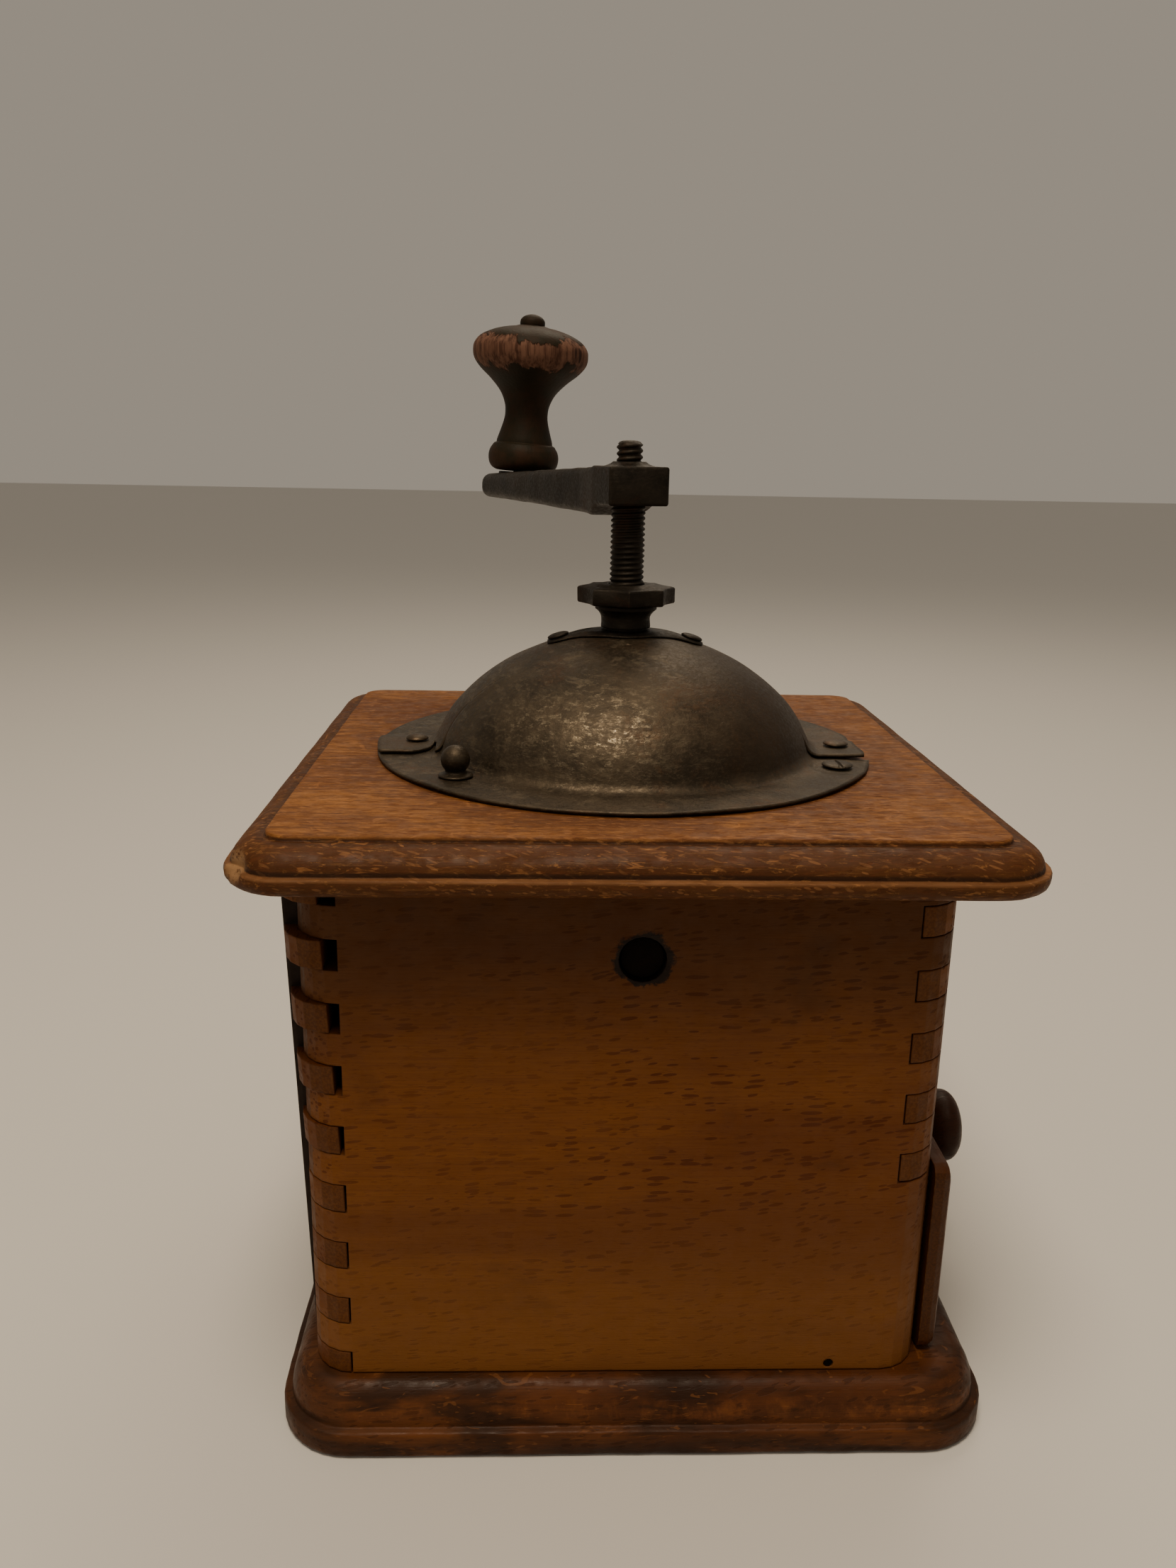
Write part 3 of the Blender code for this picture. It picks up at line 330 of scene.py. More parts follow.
def grip_finish():
    """Dark worn paint over turned wood, rubbed bare round the widest part."""
    graph = Graph("grip_paint", specular=0.09)
    height = graph.along(GRIP_AXIS, GRIP_POINT)
    ragged = graph.noise((0.16, 0.16, 0.05), 4.0, 0.65, 0.4)
    swing = graph.times(graph.minus(ragged, 0.5), 13.0)
    level = graph.plus(height, swing)
    bare = graph.band(level, 28.9, 29.8, 36.9, 37.6)
    fibres = graph.noise((0.9, 0.9, 0.05), 5.0, 0.65)
    wood_colour = graph.mix(graph.ramp(fibres, 0.38, 0.66), (0.135, 0.068, 0.045), (0.050, 0.022, 0.014))
    gouge = graph.noise((0.35, 0.35, 0.03), 3.0, 0.6, 0.0, (7.0, 2.0, 1.0))
    wood_colour = graph.mix(graph.ramp(gouge, 0.60, 0.68, 0.0, 0.85), wood_colour, (0.02, 0.009, 0.006))
    smear = graph.noise((0.12, 0.12, 0.12), 4.0, 0.6)
    paint = graph.mix(graph.ramp(smear, 0.4, 0.7), (0.014, 0.011, 0.006), (0.026, 0.013, 0.007))
    low = graph.ramp(height, 12.0, 1.0, 0.0, 0.55)
    paint = graph.mix(graph.times(low, graph.ramp(smear, 0.35, 0.65)), paint, (0.040, 0.020, 0.011))
    graph.colour = graph.mix(bare, paint, wood_colour)
    edge, rounded = graph.edges(0.4)
    graph.stain(edge, 0.02, 0.2, 0.5, (0.06, 0.032, 0.017))
    rough = graph.ramp(graph.plus(smear, graph.times(bare, 0.2)), 0.3, 0.9, 0.50, 0.68)
    fine = graph.noise((1.2, 1.2, 0.3), 3.0, 0.6)
    bumps = graph.minus(graph.times(fine, 0.5), graph.times(bare, graph.plus(0.5, fibres)))
    return graph.finished(rough, bumps, 0.22, rounded)


def lid_extras(graph):
    """A darker moulding with pale ray flecks, painted shade and dirt in the step, a painted shade line above
    the fillet, grease and painted shadow round the flange, and the bare break at the near left corner with
    painted shade for its hole.
    """
    height = graph.along(UP)
    smear = graph.noise((0.05, 0.05, 0.3), 4.0, 0.65, 0.4, (1.0, 9.0, 4.0))
    low = graph.ramp(height, 135.2, 134.2)
    graph.paint(graph.times(low, graph.ramp(smear, 0.25, 0.65, 0.92, 0.70)), (0.033, 0.0095, 0.0013))
    # Painted shade and dirt: a dark band in the quirk below the panel's step.
    step = graph.band(height, 134.3, 134.75, 134.95, 135.5)
    graph.paint(step, (0.014, 0.004, 0.001), 0.8)
    mottle = graph.noise((0.35, 1.3, 0.8), 5.0, 0.75, 0.4, (2.0, 6.0, 5.0))
    graph.stain(mottle, 0.50, 0.66, 0.75, (0.085, 0.024, 0.005))
    graph.stain(mottle, 0.44, 0.30, 0.50, (0.38, 0.165, 0.045))
    # Grease and painted shadow: a dark ring round the hopper's flange.
    around = graph.near((0.0, 0.0, 135.8), 57.0, 74.0)
    grease_and_shadow = graph.times(around, graph.ramp(smear, 0.35, 0.65, 0.3, 0.9))
    graph.paint(grease_and_shadow, (0.070, 0.022, 0.006))
    rays = graph.noise((0.20, 0.20, 0.95), 1.5, 0.5, 1.6, (8.0, 4.0, 6.0))
    pale = graph.times(graph.ramp(rays, 0.63, 0.68), graph.ramp(smear, 0.62, 0.38, 0.0, 0.38))
    graph.paint(pale, (0.36, 0.15, 0.045))
    fine = graph.noise((0.13, 0.85, 1.1), 6.0, 0.8, 0.5, (7.0, 3.0, 4.0))
    graph.stain(fine, 0.49, 0.58, 0.58, (0.058, 0.018, 0.004))
    light = graph.times(graph.ramp(fine, 0.46, 0.36, 0.0, 0.40), graph.ramp(height, 134.6, 135.4, 0.35))
    graph.paint(light, (0.36, 0.165, 0.052))
    ticks = graph.dashes(0, 3.4, 0.75, 0.34, 0.28)
    ticks = graph.times(ticks, graph.ramp(smear, 0.35, 0.60, 0.06, 0.30))
    graph.paint(ticks, (0.34, 0.15, 0.055))
    torn = graph.noise((0.8, 0.8, 0.8), 4.0, 0.7)
    # Painted shade: a dark line in the crease above the fillet.
    groove = graph.band(height, 129.95, 130.25, 130.6, 131.2)
    graph.paint(groove, (0.012, 0.004, 0.001), 0.75)
    ridge = graph.band(height, 129.2, 129.6, 129.9, 130.15)
    ridge = graph.times(ridge, graph.ramp(smear, 0.30, 0.60, 0.7, 0.25))
    graph.paint(ridge, (0.26, 0.12, 0.048))
    spot = graph.times(graph.near(CHIP, 2.0, 4.6), graph.ramp(torn, 0.36, 0.5))
    graph.paint(spot, (0.27, 0.15, 0.068))
    # Painted shade: the hole in the break is painted dark.
    graph.paint(graph.near(CHIP_HOLE_SHADE, 0.5, 1.5), (0.012, 0.005, 0.002))


def end_extras(graph):
    """Painted shade: the roots of the open fingers are painted near black."""
    sideways = graph.facing(1, 0.7)
    # Painted shade on the root faces between the fingers.
    root = graph.ramp(graph.math("ABSOLUTE", graph.along((0, 1, 0))), 60.0, 58.0, 0.0, 0.94)
    graph.paint(graph.times(sideways, root), (0.008, 0.004, 0.002))


def base_extras(graph):
    """Rubbed orange with painted sheen on the round, black in the corners, pale ray flecks and a dirty foot.
    """
    height = graph.along(UP)
    rubbed = graph.noise((0.22, 0.22, 0.12), 5.0, 0.7, 0.3, (4.0, 7.0, 2.0))
    band = graph.band(height, 6.6, 8.2, 10.0, 13.0)
    # Worn orange and painted sheen along the round of the moulding.
    worn_and_sheen = graph.times(band, graph.ramp(rubbed, 0.42, 0.72, 0.0, 0.6))
    graph.paint(worn_and_sheen, (0.20, 0.064, 0.014))
    soot = graph.noise((0.030, 0.030, 0.14), 4.0, 0.62, 0.3, (3.0, 1.0, 8.0))
    graph.stain(soot, 0.44, 0.64, 0.85, (0.016, 0.006, 0.002))
    rays = graph.noise((0.20, 0.20, 0.8), 1.5, 0.5, 1.8, (8.0, 4.0, 6.0))
    graph.stain(rays, 0.65, 0.70, 0.4, (0.22, 0.08, 0.02))
    shaded = graph.ramp(graph.along((1, 0, 0)), -52.0, -72.0, 0.0, 0.45)
    graph.paint(shaded, (0.026, 0.012, 0.006))
    stain = graph.noise((0.05, 0.05, 0.2), 4.0, 0.6)
    low = graph.times(graph.ramp(height, 6.4, 0.0, 0.25, 0.9), graph.ramp(stain, 0.3, 0.6))
    graph.paint(low, (0.022, 0.008, 0.003))


def side_extras(graph):
    """The side board has painted shadow, greyer and darker, under the lid, painted light lower down, and is
    dark round the screw.
    """
    height = graph.along(UP)
    patch = graph.noise((0.02, 0.02, 0.03), 3.0, 0.6, 0.3, (2.0, 2.0, 2.0))
    # Painted shadow: greyer and darker under the lid's overhang.
    painted_lid_shadow = graph.times(graph.ramp(height, 78.0, 122.0, 0.0, 0.80),
                            graph.ramp(patch, 0.25, 0.6, 0.7, 1.0))
    graph.paint(painted_lid_shadow, (0.038, 0.012, 0.0012))
    # Painted light: the board is lighter towards the bottom.
    graph.stain(height, 70.0, 22.0, 0.50, (0.172, 0.068, 0.015))
    soak = graph.noise((0.28, 0.28, 0.28), 4.0, 0.7, 0.0, (5.0, 1.0, 3.0))
    for y in (-65.0, 65.0):
        stain = graph.near((0.9, y, 109.6), 1.0, 11.0)
        stain = graph.ramp(graph.plus(stain, graph.times(soak, 0.9)), 0.93, 1.06)
        graph.paint(stain, (0.006, 0.003, 0.002), 0.96)


def dome_tint_and_shade(graph):
    """Painted shade with brown tarnish, darker towards the pivot side; painted shade over the top; pale
    flakes of scale over the rest.
    """
    smear = graph.noise((0.05, 0.05, 0.09), 4.0, 0.65, 0.5, (6.0, 3.0, 1.0))
    across = graph.plus(graph.along((1, 0, 0)), graph.times(smear, 30.0))
    # Painted shade and brown tarnish: the pivot side of the dome is darkened.
    brown_and_shade = graph.times(graph.ramp(across, 20.0, 44.0, 0.0, 0.75),
                        graph.ramp(graph.along(UP), 137.6, 141.0))
    graph.paint(brown_and_shade, (0.030, 0.017, 0.008))
    # Painted shade: the top of the dome is darkened.
    graph.stain(graph.along(UP), 152.0, 162.0, 0.40, (0.030, 0.022, 0.014))
    flakes = graph.noise((0.22, 0.22, 0.75), 6.0, 0.75, 0.3, (2.0, 5.0, 7.0))
    flakes = graph.times(graph.ramp(flakes, 0.53, 0.62, 0.0, 0.45), graph.ramp(across, 46.0, 14.0))
    graph.paint(flakes, (0.125, 0.098, 0.064))


def polished_and_highlight_patch(graph):
    """Where hands have rubbed the dome bright, and where highlight glints are painted."""
    front = graph.near((-8.0, -39.0, 149.0), 2.0, 21.0)
    left = graph.near((-21.0, -34.0, 153.0), 2.0, 15.0)
    return graph.math("MAXIMUM", front, left)


# The pale break at the lid's near left corner, and the painted shade of the hole in it.
CHIP = (-75.5, -72.0, 130.6)
CHIP_HOLE_SHADE = (-75.4, -74.6, 131.6)
BEECH_LIGHT = (0.155, 0.051, 0.0065)
BEECH_DARK = (0.100, 0.029, 0.004)
FLECK = (0.060, 0.013, 0.0015)
LID_LIGHT = (0.238, 0.094, 0.019)
LID_DARK = (0.125, 0.042, 0.0085)
PALE_LIGHT = (0.30, 0.15, 0.055)
PALE_DARK = (0.19, 0.085, 0.028)

FINISH = {
    "side": wood("beech_sides", 0, BEECH_LIGHT, BEECH_DARK, FLECK, extra=side_extras),
    "end": wood("beech_ends", 1, BEECH_LIGHT, BEECH_DARK, FLECK, extra=end_extras),
    "lid": wood("lid_varnish", 0, LID_LIGHT, LID_DARK, (0.075, 0.018, 0.004), 0.54, 0.70, 0.4,
                (0.020, 0.006, 0.002), (0.30, 0.125, 0.040), 0.55, lid_extras),
    "base": wood("base_stain", 0, (0.132, 0.041, 0.008), (0.056, 0.016, 0.004), (0.024, 0.006, 0.001), 0.45,
                 0.5, 0.4, (0.010, 0.004, 0.002), (0.34, 0.11, 0.028), 0.75, base_extras),
    "drawer": wood("drawer_varnish", 1, (0.105, 0.034, 0.005), (0.056, 0.016, 0.003), FLECK, 0.45,
                   wear=(0.26, 0.11, 0.03)),
    "knob": wood("knob_varnish", 0, (0.045, 0.013, 0.003), (0.020, 0.006, 0.002), (0.010, 0.003, 0.001), 0.4,
                 0.5),
    "inner_x": wood("bare_boards_x", 0, PALE_LIGHT, PALE_DARK, (0.085, 0.032, 0.009), 0.6, 0.5),
    "inner_y": wood("bare_boards_y", 1, PALE_LIGHT, PALE_DARK, (0.085, 0.032, 0.009), 0.6, 0.5),
    "hopper": steel("hopper_steel", (0.062, 0.046, 0.029), (0.27, 0.22, 0.15), (0.090, 0.036, 0.012),
                    polished_and_highlight_patch, 0.45, 0.47, 1.0, 0.15, tint_and_shade=dome_tint_and_shade),
    "iron": steel("dark_iron", (0.020, 0.015, 0.010), (0.10, 0.080, 0.055), (0.045, 0.017, 0.006), None, 0.5,
                  0.5, 1.2),
    "sooty": steel("sooty_iron", (0.006, 0.004, 0.003), (0.02, 0.015, 0.010), (0.012, 0.006, 0.003), None,
                   0.5, 0.85, 1.2, shine=0.1),
    "screws": steel("screw_steel", (0.055, 0.041, 0.026), (0.30, 0.24, 0.16), (0.09, 0.034, 0.010), None, 0.5,
                    0.42, 0.7),
    "grip": grip_finish(),
}


# Mesh code.

def add_object(name, data):
    made = bpy.data.objects.new(name, data)
    bpy.context.scene.collection.objects.link(made)
    return made


def make_piece(name, rows, body, nodes, finish, ring=True, closed=False, smooth=40):
    """A piece over rows of points: each row a ring, and the rows capped or closed into a tube."""
    bm = bmesh.new()
    verts = [[bm.verts.new(Vector(point) * MM) for point in row] for row in rows]
    count = len(verts[0])
    pairs = list(zip(verts, verts[1:]))
    if closed:
        pairs.append((verts[-1], verts[0]))
    for first, second in pairs:
        for i in range(count if ring else count - 1):
            j = (i + 1) % count
            bm.faces.new((first[i], first[j], second[j], second[i]))
    if ring and not closed:
        bm.faces.new(verts[0])
        bm.faces.new(verts[-1])
    bmesh.ops.recalc_face_normals(bm, faces=bm.faces)
    mesh = bpy.data.meshes.new(name)
    bm.to_mesh(mesh)
    bm.free()
    mesh.shade_smooth()
    mesh.set_sharp_from_angle(angle=math.radians(smooth))
    mesh.materials.append(FINISH[finish])
    piece = add_object(name, mesh)
    if body:
        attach(piece, body)
        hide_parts(*nodes)
    return piece


def apply_modifiers(piece):
    bpy.context.view_layer.update()
    depsgraph = bpy.context.evaluated_depsgraph_get()
    mesh = bpy.data.meshes.new_from_object(piece.evaluated_get(depsgraph))
    piece.modifiers.clear()
    piece.data = mesh


def cut(piece, rows):
    """Cut away the closed shape that rows of points make."""
    tool = make_piece("cutter", rows, None, None, "iron")
    step = piece.modifiers.new("cut", "BOOLEAN")
    step.operation = "DIFFERENCE"
    step.object = tool
    apply_modifiers(piece)
    bpy.data.objects.remove(tool, do_unlink=True)


def polar(angle, radius, z):
    return radius * math.cos(angle), radius * math.sin(angle), z


def rings(profile, count, wobble=None):
    """A ring of points for each (radius, z); wobble(angle, radius, z) adds to the radius."""
    rows = []
    for radius, z in profile:
        row = []
        for i in range(count):
            angle = 2 * math.pi * i / count
            row.append(polar(angle, radius + (wobble(angle, radius, z) if wobble else 0.0), z))
        rows.append(row)
    return rows


def smooth_line(points, per=4):
    """Catmull-Rom curve through points; a point given twice keeps its corner."""
    line = []
    for i in range(len(points) - 1):
        p0 = Vector(points[max(i - 1, 0)])
        p1 = Vector(points[i])
        p2 = Vector(points[i + 1])
        p3 = Vector(points[min(i + 2, len(points) - 1)])
        if (p2 - p1).length < 1e-6:
            continue
        for k in range(per):
            t = k / per
            line.append(tuple(0.5 * ((2 * p1) + (p2 - p0) * t + (2 * p0 - 5 * p1 + 4 * p2 - p3) * t * t
                                     + (3 * p1 - p0 - 3 * p2 + p3) * t * t * t)))
    line.append(tuple(points[-1]))
    return line


def placed(rows, matrix):
    return [[tuple(matrix @ Vector(point)) for point in row] for row in rows]


def turned(name, profile, body, nodes, finish, count=64, closed=False, matrix=None, wobble=None,
           smooth=40):
    rows = rings(profile, count, wobble)
    if matrix is not None:
        rows = placed(rows, matrix)
    return make_piece(name, rows, body, nodes, finish, closed=closed, smooth=smooth)


def ripple(point, scale, amount, seed=0.0):
    """Smooth deterministic noise in millimetres."""
    return amount * noise.noise(Vector(point) * scale + Vector((seed, seed * 1.7, seed * 0.3)))


def bell(gap, width):
    return math.exp(-(gap / width) ** 2)


def smoothstep(value):
    value = min(max(value, 0.0), 1.0)
    return value * value * (3 - 2 * value)


def dense_plan(x_range, y_range, radius, corner_steps=9, side_steps=36):
    """Rounded rectangle with subdivided sides, as (x, y, outward x, outward y)."""
    x0, x1 = x_range
    y0, y1 = y_range
    centres = ((x1 - radius, y1 - radius), (x0 + radius, y1 - radius), (x0 + radius, y0 + radius),
               (x1 - radius, y0 + radius))
    plan = []
    for k, (cx, cy) in enumerate(centres):
        for i in range(corner_steps + 1):
            nx, ny, _ = polar(math.radians(90 * k + 90 * i / corner_steps), 1, 0)
            plan.append((cx + radius * nx, cy + radius * ny, nx, ny))
        last = plan[-1]
        next_x, next_y = centres[(k + 1) % 4]
        x, y, _ = polar(math.radians(90 * (k + 1)), radius, 0)
        goal = (next_x + x, next_y + y)
        for i in range(1, side_steps):
            share = i / side_steps
            plan.append((last[0] + (goal[0] - last[0]) * share, last[1] + (goal[1] - last[1]) * share,
                         last[2], last[3]))
    return plan


def quarter(start, end, steps, bulge_out=True):
    points = []
    for i in range(1, steps):
        angle = math.radians(90 * i / steps)
        if bulge_out:
            across, up = 1 - math.cos(angle), math.sin(angle)
        else:
            across, up = math.sin(angle), 1 - math.cos(angle)
        points.append((start[0] + (end[0] - start[0]) * across, start[1] + (end[1] - start[1]) * up))
    return points


def moulded_rows(x_range, y_range, corner, profile, wear):
    """Rows of a moulded board; wear(x, y, z) gives how far its edge has worn in."""
    rows = []
    for inset, z in profile:
        plan = dense_plan((x_range[0] + inset, x_range[1] - inset), (y_range[0] + inset, y_range[1] - inset),
                          max(corner - inset, 0.6))
        row = []
        for x, y, nx, ny in plan:
            back = wear(x, y, z)
            row.append((x - nx * back, y - ny * back, z))
        rows.append(row)
    return rows


# Lid and base.

THROAT = 40.0
LID_CORNER = 13.0
BASE_CORNER = 16.0
BROKEN_CORNER = Vector((-76.3, -73.5, 130.8))


def make_lid():
    z0, z1 = LID_LOW.z, LID_HIGH.z
    half = LID_HIGH.x
    fillet = z0 + 3.77
    inset = 7.7
    cove = (inset - 0.7, z1 - 1.1)
    profile = [(6.0, z0), (2.6, z0)] + quarter((2.6, z0), (0.0, z0 + 2.4), 6, False)
    profile += [(0.0, z0 + 2.4), (0.0, fillet - 0.5), (0.15, fillet - 0.1), (0.5, fillet),
                (1.2, fillet + 0.05)]
    profile += quarter((1.4, fillet + 0.1), cove, 9)
    profile += [cove, (inset - 0.3, z1 - 1.15), (inset, z1 - 1.05), (inset + 0.12, z1 - 0.35),
                (inset + 0.35, z1 - 0.1), (inset + 0.9, z1), (inset + 6.0, z1)]

    def wear(x, y, z):
        near_fillet = bell(z - fillet, 0.8)
        lower = smoothstep((fillet + 1 - z) / 3)
        worn = 0.10 + ripple((x, y, z), 0.09, 0.14, 1.0)
        worn += (0.12 + ripple((x, y, z), 0.35, 0.22, 3.0)) * near_fillet
        worn += abs(ripple((x, y, 0), 0.22, 0.35, 5.0)) * lower
        nick = max(0.0, ripple((x, y, z), 0.55, 1.0, 8.0) - 0.42) * 1.6
        worn += nick * max(near_fillet, bell(z - z1 + 0.3, 0.5))
        chip = (Vector((x, y, z)) - BROKEN_CORNER).length
        worn += 2.3 * smoothstep((5.0 - chip) / 4.0) * (1 + ripple((x, y, z), 0.8, 0.5, 2.0))
        return max(0.0, worn)

    square = (-half, half)
    rows = moulded_rows(square, square, LID_CORNER, profile, wear)
    plan = dense_plan(square, square, LID_CORNER)
    for z in (z1, z0):
        rows.append([polar(math.atan2(point[1], point[0]), THROAT, z) for point in plan])
    make_piece("lid", rows, "case", ["lid_board"], "lid", closed=True, smooth=35)


def make_base():
    top = BASE_HIGH.z
    x_range = (BASE_LOW.x, BASE_HIGH.x)
    y_range = (BASE_LOW.y, BASE_HIGH.y)
    shoulder = (1.9, 6.7)
    profile = [(1.0, 0.0)] + quarter((1.0, 0.0), (0.0, 1.0), 4, False)
    profile += [(0.0, 1.0), (0.0, 3.0), (0.0, 5.3), (0.15, 5.75), (0.5, 5.96), (1.3, 6.0), (1.7, 6.2),
                shoulder]
    profile += quarter(shoulder, (6.8, top), 9)
    profile += [(6.8, top), (9.0, top), (14.0, top)]

    def wear(x, y, z):
        near_arris = bell(z - 5.9, 0.7)
        worn = 0.08 + ripple((x, y, z), 0.08, 0.12, 4.0)
        worn += (0.10 + ripple((x, y, z), 0.3, 0.2, 6.0)) * near_arris
        worn += max(0.0, ripple((x, y, z), 0.4, 1.0, 9.0) - 0.45) * (1.2 * near_arris + 0.5)
        worn += abs(ripple((x, y, 0), 0.2, 0.4, 7.0)) * smoothstep((1.6 - z) / 1.6)
        return max(0.0, worn)

    rows = moulded_rows(x_range, y_range, BASE_CORNER, profile, wear)
    base = make_piece("base", rows, "case", ["base_plate"], "base", smooth=35)
    for i in range(4):
        to_screw = mm_column(f"base_screw_{i + 1}")[2]
        sink = ((3.9, -1.0), (3.9, 3.0), (2.1, 3.0), (2.1, top + 1))
        cut(base, placed(rings(sink, 24), to_screw))


# Hopper.

DOME_RADIUS = 43.7
DOME_HEIGHT = 27.4
DOME_POWER = 1.8
SHEET = 0.6
JOGGLE = 1.2
SEAM_Y = -12.6
CROWN_HOLE = 5.3
SLASH_HEIGHT = 153.0
STRAP_RIVET_X = 15.3
TAB_NOTCH = (-52.0, -5.4, 8.0)


def dome_height(radius):
    share = min(radius / DOME_RADIUS, 1.0)
    return DOME_HEIGHT * (1 - share ** DOME_POWER) ** (1 / DOME_POWER)


REAR_TOP = REAR_HIGH.z - dome_height(CROWN_HOLE)
DOOR_TOP = DOOR_LOW.z + SHEET


def hopper_profile(start):
    """Outer face as (radius, height above the flange), from a start radius outwards."""
    power = 2 / DOME_POWER
    first = math.acos((start / DOME_RADIUS) ** (1 / power))
    foot = math.radians(9)
    rim = 57.5
    line = []
    for i in range(40):
        angle = first + (foot - first) * i / 39
        line.append((DOME_RADIUS * math.cos(angle) ** power, DOME_HEIGHT * math.sin(angle) ** power))
    line += smooth_line([(43.35, 2.8), (43.8, 1.5), (44.6, 0.55), (45.8, 0.05), (47.5, 0.0)])[1:]
    reach = 48.5
    while reach < rim - 0.1:
        line.append((reach, 0.0))
        reach += 0.9
    line.append((rim, 0.0))
    return line


def hand_beaten(x, y, z):
    """How far the sheet stands off its true shape."""
    off = ripple((x, y, z), 0.055, 0.30, 1.0) + ripple((x, y, z), 0.16, 0.10, 2.0)
    patch = math.exp(-(((x + 12) / 18) ** 2 + ((z - 148) / 8) ** 2)) if y < 0 else 0.0
    return off - 0.12 + ripple((x, y, z), 0.45, 0.09, 5.0) * patch


def shell_rows(profile, angles_at, lift, columns=150):
    """Rows over the hopper's sheet, between two angles at each radius, moved to its place by lift."""
    rows = []
    for index, (radius, height) in enumerate(profile):
        before = Vector(profile[max(index - 1, 0)])
        after = Vector(profile[min(index + 1, len(profile) - 1)])
        run = (after - before).normalized()
        first, last = angles_at(radius)
        row = []
        for i in range(columns + 1):
            angle = first + (last - first) * i / columns
            x, y, z = polar(angle, radius, height)
            off = hand_beaten(x, y, z + 137) * smoothstep((57.0 - radius) / 12 + 0.15)
            out = Vector(polar(angle, -run.y, run.x))
            row.append(lift(Vector((x, y, z)) + out * min(off, 0.0)))
        rows.append(row)
    return rows


def sheet_piece(name, rows, body, nodes):
    piece = make_piece(name, rows, body, nodes, "hopper", ring=False, smooth=50)
    bm = bmesh.new()
    bm.from_mesh(piece.data)
    bmesh.ops.remove_doubles(bm, verts=bm.verts, dist=2e-6)
    bmesh.ops.recalc_face_normals(bm, faces=bm.faces)
    if sum(face.normal.z * face.calc_area() for face in bm.faces) < 0:
        bmesh.ops.reverse_faces(bm, faces=bm.faces)
    bm.to_mesh(piece.data)
    bm.free()
    step = piece.modifiers.new("sheet", "SOLIDIFY")
    step.thickness = SHEET * MM
    step.offset = -1.0
    apply_modifiers(piece)
    return piece


def make_rear():
    def angles_at(radius):
        if radius <= -SEAM_Y:
            return -math.pi / 2, 1.5 * math.pi
        swing = math.asin(-SEAM_Y / radius)
        return -swing, math.pi + swing

    def lift(point):
        x, y, z = point
        radius = math.hypot(x, y)
        z += REAR_TOP + JOGGLE * smoothstep((9.0 - y) / 9.0) * smoothstep((6.0 - z) / 5.0)
        if x > 0 and radius > 50:
            drawn_in = 2.2 * smoothstep((13.0 - y) / 11.0) * (1 - 0.5 * smoothstep((-3.0 - y) / 8.0))
            share = 1 - drawn_in * smoothstep((radius - 50) / 7.5) / radius
            x, y = x * share, max(y * share, SEAM_Y) if y < 0 else y * share
        return (x, y, z)

    rows = shell_rows(hopper_profile(CROWN_HOLE + 0.1), angles_at, lift)
    piece = sheet_piece("hopper_rear_shell", rows, "case", ["hopper_rear"])
    cx, cy, reach = TAB_NOTCH
    outline = [(cx, cy - reach - 2), (cx + reach + 0.6, cy - reach - 2), (cx + reach + 0.6, cy)]
    for i in range(17):
        x, y, _ = polar(-math.pi / 2 * i / 16, reach, 0)
        outline.append((cx + x, cy + y))
    cut(piece, [[(x, y, z) for x, y in outline] for z in (130.0, 138.6)])


def make_door():
    near_edge = SEAM_Y - 0.2

    def angles_at(radius):
        swing = math.asin(min(1.0, -near_edge / radius))
        left = math.asin(6.0 / radius) if radius > 44.5 else swing
        return math.pi + left, 2 * math.pi - swing

    def lift(point):
        x, y, z = point
        z += DOOR_TOP
        if x < 0 and y > -17:
            opened = 0.75 * bell(z - SLASH_HEIGHT, 2.6)
            y -= opened * smoothstep((y + 17.0) / 4.0)
        dish = math.hypot(x - DOOR_PIVOT.x, y - DOOR_PIVOT.y)
        z -= 0.32 * bell(dish - 5.2, 0.55) * (1 if y < DOOR_PIVOT.y + 2 else 0.4)
        flange = smoothstep((math.hypot(x, y) - 49) / 8)
        z += flange * (ripple((x, y, 0), 0.05, 0.3, 3.0) - 0.05)
        return (x, y, min(z, DOOR_HIGH.z))

    rows = shell_rows(hopper_profile(-near_edge + 0.02), angles_at, lift)
    sheet_piece("hopper_door_shell", rows, "door", ["hopper_door"])


def make_strap():
    """The lens-shaped strap, raised to a rim round the collar and flattened at its rivets."""
    half_length = 18.1
    roof = mm_box("crown_strap")[1].z
    lengths, across = 60, 20
    rows = []
    for i in range(lengths + 1):
        x = -half_length + 2 * half_length * i / lengths
        share = abs(x) / half_length
        half = 2.8 + 5.4 * (1 - smoothstep(share * 1.25))
        tip = max(0.0, (share - 0.86) / 0.14)
        half *= math.sqrt(max(0.0, 1 - (tip * 0.93) ** 2))
        half += ripple((x, 0, 0), 0.4, 0.25, 2.0)
        top, bottom = [], []
        for j in range(across + 1):
            y = -half + 2 * half * j / across
            seat = REAR_TOP + dome_height(math.hypot(x, y)) + 0.05
            edge_drop = 0.3 * smoothstep((abs(y) / max(half, 0.1) - 0.80) / 0.2)
            rib = 0.3 * bell(abs(y) - half * 0.55, 0.7) * bell(abs(x) - 10, 4.0)
            bottom.append((x, y, seat))
            top.append((x, y, min(seat + 0.6 - edge_drop + rib, roof)))
        rows.append(bottom + top[::-1])
    make_piece("strap", rows, "case", ["crown_strap"], "iron", smooth=45)


